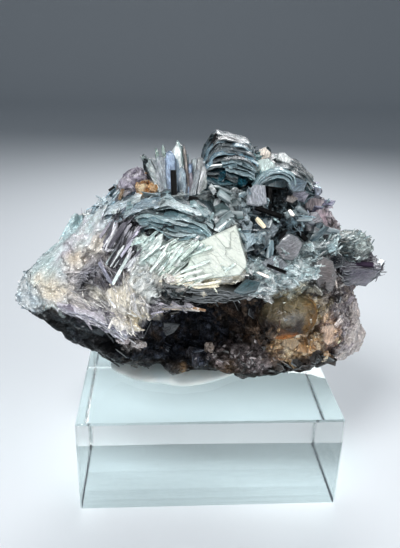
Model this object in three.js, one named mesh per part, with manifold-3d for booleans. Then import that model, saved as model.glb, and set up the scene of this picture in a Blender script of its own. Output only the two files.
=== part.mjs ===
// Barite crystal cluster, stuck with a pad of putty on a clear display block.
// Millimetres, +Z up, -Y is the show side. The origin is the centre of the block's underside.
// Three pieces: display_block, putty_pad and barite_cluster, which grew as one solid.

import * as THREE from 'three';
import { ConvexGeometry } from 'three/addons/geometries/ConvexGeometry.js';
import { mergeVertices } from 'three/addons/utils/BufferGeometryUtils.js';
import Module from 'manifold-3d';

const wasm = await Module();
wasm.setup();

// ---------------------------------------------------------------- driving dimensions

const block = { width: 75, depth: 50, height: 30, chamfer: 0.5 };
const pad = { x: -7.5, y: 7, halfWidth: 23.5, halfDepth: 14.5, height: 5.5, sides: 30 };
const socketGap = 0.3; // between the putty and the rock pressed into it
const seatHeight = block.height + 0.4; // the rock reaches no lower than this
const clearOfBlock = 4; // sown crystals start this much higher

// The rock's cross-sections along X, as [y, z] points that run from the middle of the
// underside up the front, over the crest and down the back. The front goes: underside,
// keel, hollow, ledge, face, crest.
const sections = [
  { x: -55, outline: [[-1, 56], [-2.5, 56.2], [-3.8, 56.8], [-4.6, 57.4], [-5, 58.3], [-4.8, 59.2],
    [-4.4, 60], [-3.8, 60.8], [-3, 61.4], [-2, 61.7], [-1, 61.8], [0.2, 61.4], [1.2, 60.6], [1.8, 59],
    [1.4, 57.6], [0.4, 56.5]] },
  { x: -50, outline: [[0, 51.4], [-3, 52.6], [-5.5, 54.2], [-7, 55.6], [-8, 57.2], [-8.4, 59],
    [-8.6, 60.8], [-8.2, 63], [-6.6, 65.6], [-4, 67], [-1, 67.8], [2.4, 66.8], [5, 64], [6, 60],
    [5, 55.6], [2.6, 52.4]] },
  { x: -44, outline: [[1, 46.5], [-4, 48.9], [-8, 51.6], [-9.8, 54], [-10.8, 56.4], [-11.4, 58.6],
    [-11.8, 61], [-11.6, 64.4], [-9.6, 68.4], [-6, 72], [-1, 73.6], [4.6, 71.6], [8.6, 68], [10.4, 61.4],
    [9.4, 53.6], [5.6, 48.6]] },
  { x: -36, outline: [[1.5, 40.6], [-5, 42.8], [-9.5, 46.4], [-11, 50], [-12.2, 53.4], [-13.6, 56.4],
    [-15.6, 59.6], [-16.6, 65], [-15.2, 70.8], [-9.4, 76.8], [-1.6, 80.4], [6, 77.4], [11.5, 72],
    [14, 62.6], [13, 52], [8, 43.6]] },
  { x: -27, outline: [[2, 34], [-5.5, 37.4], [-10.5, 41.6], [-12, 45], [-13.4, 49], [-15.4, 52.4],
    [-18.8, 56.6], [-20.6, 64], [-18.8, 73.4], [-13.2, 82.4], [-3.5, 88], [6, 84.6], [13.5, 78],
    [18, 66], [17.5, 52.5], [11, 40]] },
  { x: -18, outline: [[3, 32.4], [-5.5, 35.8], [-11.5, 40.4], [-12.5, 43.5], [-13, 48], [-16, 55],
    [-24, 64.5], [-26, 70], [-24, 78], [-16.5, 86.4], [-5, 90.6], [6, 88.6], [15, 81.5], [21.5, 69],
    [21.5, 54], [13, 39]] },
  { x: -8, outline: [[4, 31.5], [-5, 34.4], [-12, 39.4], [-11.5, 43.5], [-4, 50], [-7, 59],
    [-22, 66], [-28, 71.5], [-25.5, 79], [-17, 87], [-5, 91.5], [7, 90], [17, 83.5], [24.5, 70],
    [25, 54], [15, 38]] },
  { x: 2, outline: [[4, 31.2], [-5, 34], [-13, 39], [-12, 43.5], [-6, 51], [-9, 60],
    [-20, 67.5], [-26.5, 73], [-22, 82], [-13, 91], [-2, 98], [8, 97], [18, 88.5], [26, 73],
    [27, 55], [16, 38]] },
  { x: 12, outline: [[4, 31], [-5, 33.4], [-13.5, 38.2], [-15, 43], [-14, 51], [-14.5, 59],
    [-19, 66], [-22, 72], [-17.5, 81], [-10, 90], [0, 97], [9, 95.5], [18, 87.5], [25.5, 73],
    [26.5, 55], [16, 38]] },
  { x: 22, outline: [[4, 31], [-4.5, 33.4], [-12.5, 37.8], [-17, 43], [-17.5, 50], [-16, 58],
    [-17.5, 65], [-19, 71], [-14.5, 79], [-8, 86.5], [1, 93], [9, 91], [16.5, 82.5], [22.5, 70],
    [23.5, 54], [14.5, 38]] },
  { x: 31, outline: [[4, 31.8], [-4, 34], [-10, 38.4], [-14, 43], [-14.5, 49.5], [-13.5, 57],
    [-14, 64], [-13, 70], [-10, 77], [-5, 82.4], [1, 85.4], [7.5, 82.4], [13.5, 75.5], [18, 65.5],
    [19, 52.5], [12.5, 39]] },
  { x: 39, outline: [[4, 33.4], [-2, 35], [-6.5, 38.6], [-10.5, 43], [-11.5, 48], [-9.5, 53.5],
    [-8.5, 58], [-7.5, 62], [-5.5, 66], [-2, 69.5], [2, 71], [6.5, 69.5], [10.5, 65.5], [14, 59],
    [15, 49.5], [10, 38.5]] },
  { x: 45.5, outline: [[3, 37], [0, 37.6], [-3, 39.4], [-5, 41.6], [-6, 44], [-5.5, 46.5], [-4.5, 48.5],
    [-3.5, 50], [-2, 51], [0, 51.5], [2.5, 51.5], [5, 50.5], [7, 48.5], [8.5, 46], [8.5, 42],
    [6, 38.8]] },
];
const ringCount = 18; // rings of facets along the rock
const ruggedness = 1.1; // how far a facet's corner strays

// Lumps that stand out of the rock: centre, half sizes, number of corners.
const lumps = [
  { at: [39.5, -1, 73], half: [7.6, 7, 4.8], corners: 38 }, // beak
  { at: [42.5, -1, 65.6], half: [7.6, 5.5, 2.6], corners: 28 }, // jaw under the beak
  { at: [36.5, 1, 60], half: [7.5, 9, 8], corners: 30 }, // neck
  { at: [20.5, -14.5, 58], half: [7.6, 7.6, 7], corners: 44 }, // amber-brown knob
  { at: [40.5, 0, 43.4], half: [8, 9, 8.6], corners: 34 }, // right foot
];

// The broad white cleavage face on the front: its corners, clockwise, and its thickness.
const whitePlate = {
  corners: [[-2.2, -23.5, 84.4], [3.6, -23, 85.8], [7.6, -26.6, 76], [5.6, -27.6, 73], [-3, -27.6, 72.6]],
  inward: [1.5, 9, -2.5],
};

// Upright blades of the clear fan left of the peak: tip and width of each.
const fanTips = [
  { tip: [-18.8, -4, 98.2], width: 2.6 }, { tip: [-15.6, 1, 99.4], width: 2.2 },
  { tip: [-13.8, -1, 100.8], width: 2.4 }, { tip: [-12, -5, 99.6], width: 3 },
  { tip: [-10.4, 1, 101.4], width: 3.2 }, { tip: [-8.8, -1, 102.2], width: 3 },
  { tip: [-7.2, -5, 98.4], width: 3 }, { tip: [-5.6, -2, 97.4], width: 3.2 },
  { tip: [-3.8, 1, 96.8], width: 3 },
];

// Black six-sided rods: root, tip, width.
const blackRods = [
  { root: [-10.5, -8.6, 86], tip: [-10.7, -9.4, 96.2], width: 1.5 },
  { root: [14.7, -5, 83], tip: [14.2, -8.6, 91.8], width: 1.5 },
  { root: [9.6, -10, 87.4], tip: [17, -9.6, 85.4], width: 2.2 },
  { root: [12.6, -19, 75], tip: [18.6, -18.6, 72], width: 1.1 },
  { root: [-3.6, 0, 97], tip: [-0.4, 2.4, 104.2], width: 1 },
];

// Steep sheets stacked at the peak, each a step lower and further forward: middle of the
// top edge, width, where the broad face looks.
const peakSheets = [
  { edge: [4.4, 3.4, 103.2], width: 12.4, face: [0.16, -0.9, 0.3], skew: -0.07 },
  { edge: [5.6, 0.4, 100.8], width: 12.6, face: [-0.12, -0.9, 0.4], skew: 0.04 },
  { edge: [4.4, -2.8, 98.6], width: 12.8, face: [0.2, -0.86, 0.42], skew: 0.07 },
  { edge: [3.2, -6.2, 95.6], width: 11.6, face: [-0.05, -0.8, 0.55], skew: 0.03 },
  { edge: [0.4, -9.8, 92.2], width: 7.4, face: [-0.34, -0.85, 0.42], skew: -0.1 },
];
const peakSheetLength = 13;

// Sheets that fan over the shoulder, and nubs down the right edge: tip, width.
const shoulderTips = [
  { tip: [13.4, 3, 99.6], width: 6 }, { tip: [17, 2, 98.6], width: 6 },
  { tip: [20.6, 1, 97], width: 6.4 }, { tip: [24, 0, 95], width: 6.4 },
  { tip: [27, -0.6, 92.4], width: 6.4 }, { tip: [28.6, 0, 88.8], width: 6 },
  { tip: [31.8, -0.6, 85.4], width: 5.6 }, { tip: [33, -1, 81.6], width: 5.4 },
  { tip: [35.6, -1.4, 77.2], width: 5 },
];

// Plates of the beak and its jaw: tip, width, where the broad face looks.
const beakPlates = [
  { tip: [43.6, -2, 77.4], width: 5, face: [0, -0.5, 0.85] },
  { tip: [46.2, 0, 75], width: 6, face: [0.3, -0.6, 0.7] },
  { tip: [46.6, -3, 71.6], width: 5, face: [0.2, -0.9, 0.3] },
  { tip: [50.4, -1, 67.2], width: 6.4, face: [0, -0.35, 0.93] },
  { tip: [49.6, -2, 65], width: 6, face: [0.1, -0.5, 0.85] },
  { tip: [45.6, -3, 62.2], width: 5, face: [0.2, -0.7, 0.6] },
];

// Crystals sown over the rock. Each patch spans section points `around` and places `x`;
// `flow` is the way its crystals lie and `rise` how much they stand up from the rock.
const patches = [
  // silky laths up the left slope
  { around: [7, 9.7], x: [-45, -16], count: 26, flow: [0.8, -0.1, 0.6], rise: [0.04, 0.16],
    length: [8, 13], width: [2.6, 4.6], thick: [1.2, 2], seed: 21 },
  // wavy sheets between the slope and the peak
  { around: [8.3, 9.7], x: [-17, 3], count: 10, flow: [0.9, -0.1, 0.1], rise: [0.1, 0.25],
    length: [7, 12], width: [3.6, 6], thick: [1.2, 2], seed: 31 },
  // mint blades above the front ledge
  { around: [6.4, 8.4], x: [-22, -3], count: 14, flow: [0.9, -0.2, 0.35], rise: [0.1, 0.25],
    length: [7, 12], width: [3.4, 5.6], thick: [1.3, 2], seed: 22 },
  // plates that line the ledge's lip
  { around: [5.7, 6.5], x: [-34, 8], count: 10, flow: [0.7, -0.6, -0.2], rise: [0.2, 0.4],
    length: [5, 8], width: [4, 7], thick: [1.5, 2.4], seed: 23 },
  // stubby plates every way on the right of the front
  { around: [6.6, 9.8], x: [7, 32], count: 31, flow: [0, 0, 0], rise: [0.5, 0.9],
    length: [4.5, 7.5], width: [4, 7], thick: [1.3, 2.2], seed: 24 },
  // dark flakes in the hollow and on the keel
  { around: [2.6, 5], x: [-32, 22], count: 13, flow: [0.6, -0.3, 0.1], rise: [0.1, 0.3],
    length: [6, 10], width: [5, 8], thick: [1.4, 2.4], seed: 35 },
  // crust on the lower right
  { around: [2.8, 7], x: [26, 38], count: 9, flow: [0.4, -0.2, 0.6], rise: [0.3, 0.6],
    length: [4, 7], width: [4, 6], thick: [1.4, 2.4], seed: 26 },
  // small tips along the crest of the left slope
  { around: [9.8, 10.6], x: [-36, -19], count: 7, flow: [0.7, 0, 0.6], rise: [0.1, 0.25],
    length: [4, 6], width: [2.4, 4], thick: [1.2, 1.8], seed: 27 },
  // plates over the back
  { around: [10.9, 13.4], x: [-42, 40], count: 30, flow: [0.3, 0.2, 0.7], rise: [0.2, 0.55],
    length: [8, 13], width: [5.5, 9.5], thick: [1.6, 2.8], seed: 28 },
  { around: [13.3, 15], x: [-36, 40], count: 12, flow: [0.5, 0.2, 0.1], rise: [0.15, 0.35],
    length: [7, 11], width: [5, 8], thick: [1.8, 2.8], seed: 29 },
];

// ---------------------------------------------------------------- helpers

const upward = new THREE.Vector3(0, 0, 1);
const vec = (point) => new THREE.Vector3(...point);

// A repeatable stream of numbers from 0 to 1.
function seededRandom(seed) {
  let state = seed >>> 0;
  return () => {
    state = (state + 0x6d2b79f5) >>> 0;
    let mix = Math.imul(state ^ (state >>> 15), 1 | state);
    mix = (mix + Math.imul(mix ^ (mix >>> 7), 61 | mix)) ^ mix;
    return ((mix ^ (mix >>> 14)) >>> 0) / 4294967296;
  };
}

const between = (random, [low, high]) => low + (high - low) * random();
const anyWay = (random) => new THREE.Vector3(random() - 0.5, random() - 0.5, random() - 0.5);

// A three.js geometry as a closed manifold solid.
function solidOf(geometry) {
  const bare = geometry.clone();
  bare.deleteAttribute('normal');
  bare.deleteAttribute('uv');
  const merged = mergeVertices(bare, 1e-5);
  return new wasm.Manifold(new wasm.Mesh({
    numProp: 3,
    vertProperties: new Float32Array(merged.attributes.position.array),
    triVerts: new Uint32Array(merged.index.array),
  }));
}

// A manifold solid as a three.js geometry.
function geometryOf(solid) {
  const mesh = solid.getMesh();
  const geometry = new THREE.BufferGeometry();
  geometry.setAttribute('position', new THREE.BufferAttribute(mesh.vertProperties, 3));
  geometry.setIndex(new THREE.BufferAttribute(mesh.triVerts, 1));
  return geometry;
}

const hullOf = (points) => solidOf(new ConvexGeometry(points));

// ---------------------------------------------------------------- the rock

// One curve along the rock through each section's point of the same number.
const rails = sections[0].outline.map((_, index) => new THREE.CatmullRomCurve3(
  sections.map(({ x, outline }) => new THREE.Vector3(x, ...outline[index])),
));

// How far along the rails, from 0 to 1, a place on the X axis is.
function alongAt(x) {
  const next = Math.max(1, sections.findIndex((section) => section.x >= x));
  const [before, after] = [sections[next - 1].x, sections[next].x];
  return (next - 1 + (x - before) / (after - before)) / (sections.length - 1);
}

// A point of the smooth rock: `around` counts section points, `along` runs from 0 to 1.
function rockPoint(around, along) {
  const first = Math.floor(around);
  const start = rails[first % rails.length].getPoint(along);
  const stop = rails[(first + 1) % rails.length].getPoint(along);
  return start.lerp(stop, around - first);
}

// The way out of the rock at a point of it.
function rockNormal(around, along) {
  const lengthwise = rockPoint(around, along + 0.02).sub(rockPoint(around, along - 0.02));
  const upwards = rockPoint(around + 0.5, along).sub(rockPoint(around - 0.5, along));
  return lengthwise.cross(upwards).normalize();
}

// The rock: a closed cylinder of facets whose corners are moved onto the rails and strayed.
function rock() {
  const sides = rails.length;
  const tube = new THREE.CylinderGeometry(1, 1, 1, sides, ringCount);
  const place = tube.attributes.position;
  for (let i = 0; i < place.count; i += 1) {
    const corner = new THREE.Vector3().fromBufferAttribute(place, i);
    const along = corner.y + 0.5;
    const onAxis = Math.hypot(corner.x, corner.z) < 0.5;
    const turn = Math.atan2(corner.x, corner.z) / (Math.PI * 2);
    const around = Math.round((1 - turn) * sides) % sides;
    const random = seededRandom(around * 131 + Math.round(along * ringCount) * 17 + 3);
    const ring = rails.map((rail) => rail.getPoint(along));
    const centre = ring.reduce((sum, point) => sum.add(point), new THREE.Vector3()).divideScalar(sides);
    const spot = onAxis ? centre : rockPoint(around, along);
    spot.addScaledVector(anyWay(random), onAxis ? 0 : ruggedness * 2);
    place.setXYZ(i, spot.x, spot.y, Math.max(seatHeight, spot.z));
  }
  return solidOf(tube);
}

// A lump: corners spread evenly over an ellipsoid, each pushed in or out a little.
function lump({ at, half, corners }, seed) {
  const random = seededRandom(seed);
  const goldenAngle = Math.PI * (3 - Math.sqrt(5));
  const points = [];
  for (let i = 0; i < corners; i += 1) {
    const height = 1 - (2 * (i + 0.5)) / corners;
    const ring = Math.sqrt(1 - height * height);
    const turn = i * goldenAngle + between(random, [-0.35, 0.35]);
    const reach = between(random, [0.9, 1.06]);
    const spot = new THREE.Vector3(ring * Math.cos(turn), ring * Math.sin(turn), height);
    points.push(spot.multiply(vec(half)).multiplyScalar(reach).add(vec(at)));
  }
  return hullOf(points);
}

// ---------------------------------------------------------------- crystals

// A tabular crystal from root to tip: a board whose broad face looks along `face`, with a
// bevelled rim, widest at `shoulder` of its length and `end` of its width at the tip.
function tablet({ root, tip, face, width, thick, shoulder = 0.8, end = 0.55, skew = 0, plain = false }) {
  const along = tip.clone().sub(root);
  const across = new THREE.Vector3().crossVectors(along, face).normalize();
  const normal = new THREE.Vector3().crossVectors(across, along).normalize();
  const outline = [[0, 0.42, 1], [shoulder, 0.5, 1], [1, end * 0.5, 0.5]].filter((_, i) => i !== 1 || !plain);
  const points = [];
  for (const [step, half, body] of outline) {
    for (const side of [-1, 1]) {
      for (const skin of [-0.5, 0.5]) {
        points.push(root.clone()
          .addScaledVector(along, step + skew * side * (step > 0.9 ? 1 : 0))
          .addScaledVector(across, side * half * width)
          .addScaledVector(normal, skin * body * thick));
      }
    }
  }
  return hullOf(points);
}

// A six-sided rod from root to tip.
function rod({ root, tip, width }) {
  const along = vec(tip).sub(vec(root));
  const stick = new THREE.CylinderGeometry(width / 2, width / 2, along.length(), 6, 1);
  stick.applyQuaternion(new THREE.Quaternion().setFromUnitVectors(
    new THREE.Vector3(0, 1, 0), along.clone().normalize(),
  ));
  const middle = vec(root).addScaledVector(along, 0.5);
  return solidOf(stick.translate(middle.x, middle.y, middle.z));
}

// The clear fan: blades that spread from one root, broad faces to the front.
function fan() {
  const root = new THREE.Vector3(-9.5, 2, 78);
  return fanTips.map(({ tip, width }, index) => tablet({
    root: root.clone().lerp(vec(tip), 0.4),
    tip: vec(tip),
    face: new THREE.Vector3(0.3 * Math.sin(index * 2.1), -1, 0.15),
    width,
    thick: 1.3,
    end: 0.6,
    skew: 0.05 * Math.cos(index * 1.7),
  }));
}

// The stack of sheets that makes the peak, rooted in the rock below.
function peak() {
  return peakSheets.map(({ edge, width, face, skew }) => {
    const down = new THREE.Vector3(0, 0, -1).projectOnPlane(vec(face).normalize()).normalize();
    return tablet({
      root: vec(edge).addScaledVector(down, peakSheetLength),
      tip: vec(edge),
      face: vec(face),
      width,
      thick: 2,
      shoulder: 0.88,
      end: 0.8,
      skew,
    });
  });
}

// Sheets that fan out of the shoulder.
function shoulder() {
  const root = new THREE.Vector3(17, 5, 80);
  return shoulderTips.map(({ tip, width }, index) => tablet({
    root: root.clone().lerp(vec(tip), 0.5),
    tip: vec(tip),
    face: new THREE.Vector3(0.4 * Math.cos(index * 2.4), -0.7, 0.6),
    width,
    thick: 2,
    end: 0.75,
  }));
}

// Plates at the beak and the jaw.
function beak() {
  const root = new THREE.Vector3(36, 0, 68);
  return beakPlates.map(({ tip, width, face }) => tablet({
    root: root.clone().lerp(vec(tip), 0.25), tip: vec(tip), face: vec(face), width, thick: 1.8, end: 0.6,
  }));
}

// The white cleavage slab.
function whiteSlab() {
  const front = whitePlate.corners.map(vec);
  return hullOf([...front, ...front.map((corner) => corner.clone().add(vec(whitePlate.inward)))]);
}

// Crystals sown over one patch of the rock.
function sown({ around, x, count, flow, rise, length, width, thick, seed }) {
  const random = seededRandom(seed);
  const rows = Math.ceil(Math.sqrt(count / 3));
  const made = [];
  for (let i = 0; i < count; i += 1) {
    const row = ((i % rows) + between(random, [0.1, 0.9])) / rows;
    const column = (i + between(random, [0, 1])) / count;
    const level = around[0] + (around[1] - around[0]) * row;
    const along = alongAt(x[0] + (x[1] - x[0]) * column);
    const out = rockNormal(level, along);
    const lie = vec(flow).addScaledVector(anyWay(random), 0.9);
    const way = lie.projectOnPlane(out).normalize();
    const stand = between(random, rise) * Math.PI * 0.5;
    way.multiplyScalar(Math.cos(stand)).addScaledVector(out, Math.sin(stand));
    const spot = rockPoint(level, along);
    const reach = between(random, length);
    const root = spot.clone().addScaledVector(way, -0.35 * reach).addScaledVector(out, -0.8);
    const tip = spot.addScaledVector(way, 0.65 * reach);
    if (Math.min(root.z, tip.z) < seatHeight + clearOfBlock) continue;
    made.push(tablet({
      root,
      tip,
      face: out.clone().addScaledVector(anyWay(random), 0.7 + stand),
      width: between(random, width),
      thick: between(random, thick),
      end: between(random, [0.5, 1.1]),
      plain: true,
      skew: between(random, [-0.12, 0.12]),
    }));
  }
  return made;
}

// ---------------------------------------------------------------- the three pieces

// The block, with every edge chamfered.
function displayBlock() {
  const { width, depth, height, chamfer } = block;
  const [right, back] = [width / 2, depth / 2];
  const outline = new THREE.Shape([
    [right - chamfer, -back], [right, -back + chamfer], [right, back - chamfer], [right - chamfer, back],
    [-right + chamfer, back], [-right, back - chamfer], [-right, -back + chamfer], [-right + chamfer, -back],
  ].map(([x, y]) => new THREE.Vector2(x, y)));
  const slab = new THREE.ExtrudeGeometry(outline, {
    depth: height - 2 * chamfer,
    bevelEnabled: true,
    bevelThickness: chamfer,
    bevelSize: chamfer,
    bevelOffset: -chamfer,
    bevelSegments: 1,
  });
  return slab.translate(0, 0, chamfer);
}

// The putty, a low dome with a thumbed, wandering edge; `grow` swells it on every side.
function putty(grow = 0) {
  const profile = [
    [0, 0], [0.86, 0], [0.97, 0.09], [1, 0.24], [0.95, 0.44], [0.8, 0.68], [0.55, 0.88], [0, 1],
  ].map(([radius, height]) => new THREE.Vector2(radius, height));
  const dome = new THREE.LatheGeometry(profile, pad.sides).rotateX(Math.PI / 2);
  const place = dome.attributes.position;
  for (let i = 0; i < place.count; i += 1) {
    const turn = Math.atan2(place.getY(i), place.getX(i));
    const wander = 1 + 0.035 * Math.sin(3 * turn + 1) + 0.025 * Math.sin(5 * turn + 2.6)
      + 0.012 * Math.sin(11 * turn);
    place.setXYZ(
      i,
      pad.x + place.getX(i) * wander * (pad.halfWidth + grow),
      pad.y + place.getY(i) * wander * (pad.halfDepth + grow),
      block.height - grow + place.getZ(i) * (pad.height + 2 * grow),
    );
  }
  return dome;
}

// The whole cluster, with the socket that the putty fills.
function barite() {
  const crystals = [
    ...fan(), ...peak(), ...shoulder(), ...beak(), whiteSlab(), ...blackRods.map(rod),
    ...patches.flatMap(sown),
  ];
  const stones = lumps.map((each, index) => lump(each, 40 + index));
  const whole = wasm.Manifold.union([rock(), ...stones, ...crystals]);
  const socketed = whole.subtract(solidOf(putty(socketGap)));
  const pieces = socketed.decompose();
  return pieces.reduce((largest, piece) => (piece.volume() > largest.volume() ? piece : largest));
}

function piece(name, geometry, color, roughness) {
  const mesh = new THREE.Mesh(geometry, new THREE.MeshStandardMaterial({ color, roughness, metalness: 0 }));
  mesh.name = name;
  return mesh;
}

const part = new THREE.Group();
part.add(
  piece('display_block', displayBlock(), 0xdcebea, 0.05),
  piece('putty_pad', putty(), 0xdfe6e2, 0.5),
  piece('barite_cluster', geometryOf(barite()), 0x8fa5ab, 0.35),
);

export default part;
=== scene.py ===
import bmesh
import bpy
import numpy as np
from mathutils import Matrix, Vector


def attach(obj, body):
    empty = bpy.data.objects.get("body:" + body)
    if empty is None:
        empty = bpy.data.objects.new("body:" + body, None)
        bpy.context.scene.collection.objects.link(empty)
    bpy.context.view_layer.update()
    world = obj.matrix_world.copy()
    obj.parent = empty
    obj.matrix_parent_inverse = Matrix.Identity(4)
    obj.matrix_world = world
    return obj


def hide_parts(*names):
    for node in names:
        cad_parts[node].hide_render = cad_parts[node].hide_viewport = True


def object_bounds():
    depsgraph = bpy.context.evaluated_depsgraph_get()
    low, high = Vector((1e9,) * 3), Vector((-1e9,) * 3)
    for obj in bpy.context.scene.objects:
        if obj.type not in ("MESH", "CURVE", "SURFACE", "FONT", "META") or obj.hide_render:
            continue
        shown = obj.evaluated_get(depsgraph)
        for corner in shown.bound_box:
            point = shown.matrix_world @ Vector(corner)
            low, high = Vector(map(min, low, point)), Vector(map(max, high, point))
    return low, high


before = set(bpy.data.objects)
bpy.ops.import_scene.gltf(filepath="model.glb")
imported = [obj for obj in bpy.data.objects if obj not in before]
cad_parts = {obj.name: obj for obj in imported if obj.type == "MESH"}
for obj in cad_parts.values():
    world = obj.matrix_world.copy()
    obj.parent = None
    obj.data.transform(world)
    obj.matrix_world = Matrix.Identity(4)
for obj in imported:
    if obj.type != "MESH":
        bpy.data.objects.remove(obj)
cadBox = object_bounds()
mm = 0.001  # sizes below are in millimetres, meshes in metres
print("frame loaded")


view = {
    "place": (-13.94, -160.05, 131.21),
    "pitchDown": 22.78,
    "yawRight": 3.99,
    "roll": 1.56,
    "lens": 39.23,  # on a 36 mm tall frame
    "nearest": 0.01,  # metres
}


def newObject(name, data):
    # an object round a mesh, a camera or a lamp, linked into the scene
    made = bpy.data.objects.new(name, data)
    bpy.context.collection.objects.link(made)
    return made


def addCamera():
    # the camera's axes: forward = (sin yaw cos pitch, cos yaw cos pitch, -sin pitch),
    # then right and up turned by the roll
    pitch, yaw, roll = np.radians([view["pitchDown"], view["yawRight"], view["roll"]])
    forward = np.array([np.sin(yaw) * np.cos(pitch), np.cos(yaw) * np.cos(pitch), -np.sin(pitch)])
    level = np.array([np.cos(yaw), -np.sin(yaw), 0.0])
    upright = np.cross(level, forward)
    right = level * np.cos(roll) + upright * np.sin(roll)
    up = upright * np.cos(roll) - level * np.sin(roll)
    camera = newObject("camera", bpy.data.cameras.new("camera"))
    camera.data.lens = view["lens"]
    camera.data.clip_start = view["nearest"]
    turned = Matrix((right, up, -forward)).transposed().to_4x4()
    turned.translation = [v * mm for v in view["place"]]
    camera.matrix_world = turned
    bpy.context.scene.camera = camera


lamps = {
    # place, aimed at, size and power of each soft lamp
    "key": ((-150, -210, 400), (0, 0, 60), 150, 1.38),
    "fill": ((330, -260, 190), (0, 0, 55), 260, 0.75),
    "back": ((60, 330, 330), (0, 0, 80), 220, 1.15),
    "low": ((-90, -420, 70), (0, 0, 40), 260, 0.52),
}
studio = {"sky": (0.62, 0.7, 0.78, 1), "strength": 0.24, "gamma": 0.84}


def addLamps():
    # soft square lamps turned to what they are aimed at, and an even sky
    for name, (place, aim, size, power) in lamps.items():
        lamp = bpy.data.lights.new(name, "AREA")
        lamp.size = size * mm
        lamp.energy = power
        holder = newObject(name, lamp)
        away = np.array(place) - np.array(aim)
        holder.location = [v * mm for v in place]
        holder.rotation_mode = "QUATERNION"
        holder.rotation_quaternion = Vector(away).to_track_quat("Z", "Y")
    world = bpy.data.worlds.new("studio")
    bpy.context.scene.world = world
    world.use_nodes = True
    sky = world.node_tree.nodes["Background"].inputs
    sky["Color"].default_value = studio["sky"]
    sky["Strength"].default_value = studio["strength"]
    bpy.context.scene.view_settings.view_transform = "Standard"
    bpy.context.scene.view_settings.gamma = studio["gamma"]


class Value:
    # a shader socket that can stand in a sum
    def __init__(self, tree, socket):
        self.tree, self.socket = tree, socket

    def math(self, operation, other=None, swapped=False, clamp=False):
        # one math node: this and the other, or the other and this where swapped
        node = self.tree.nodes.new("ShaderNodeMath")
        node.operation = operation
        node.use_clamp = clamp
        pair = [other, self] if swapped else [self, other]
        for socket, term in zip(node.inputs, pair):
            if isinstance(term, Value):
                self.tree.links.new(term.socket, socket)
            elif term is not None:
                socket.default_value = term
        return Value(self.tree, node.outputs[0])

    def __add__(self, other):
        return self.math("ADD", other)

    def __sub__(self, other):
        return self.math("SUBTRACT", other)

    def __rsub__(self, other):
        return self.math("SUBTRACT", other, swapped=True)

    def __mul__(self, other):
        return self.math("MULTIPLY", other)

    __radd__ = __add__
    __rmul__ = __mul__

    def clamped(self):
        # no less than 0 and no more than 1
        return self.math("ADD", 0.0, clamp=True)


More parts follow.
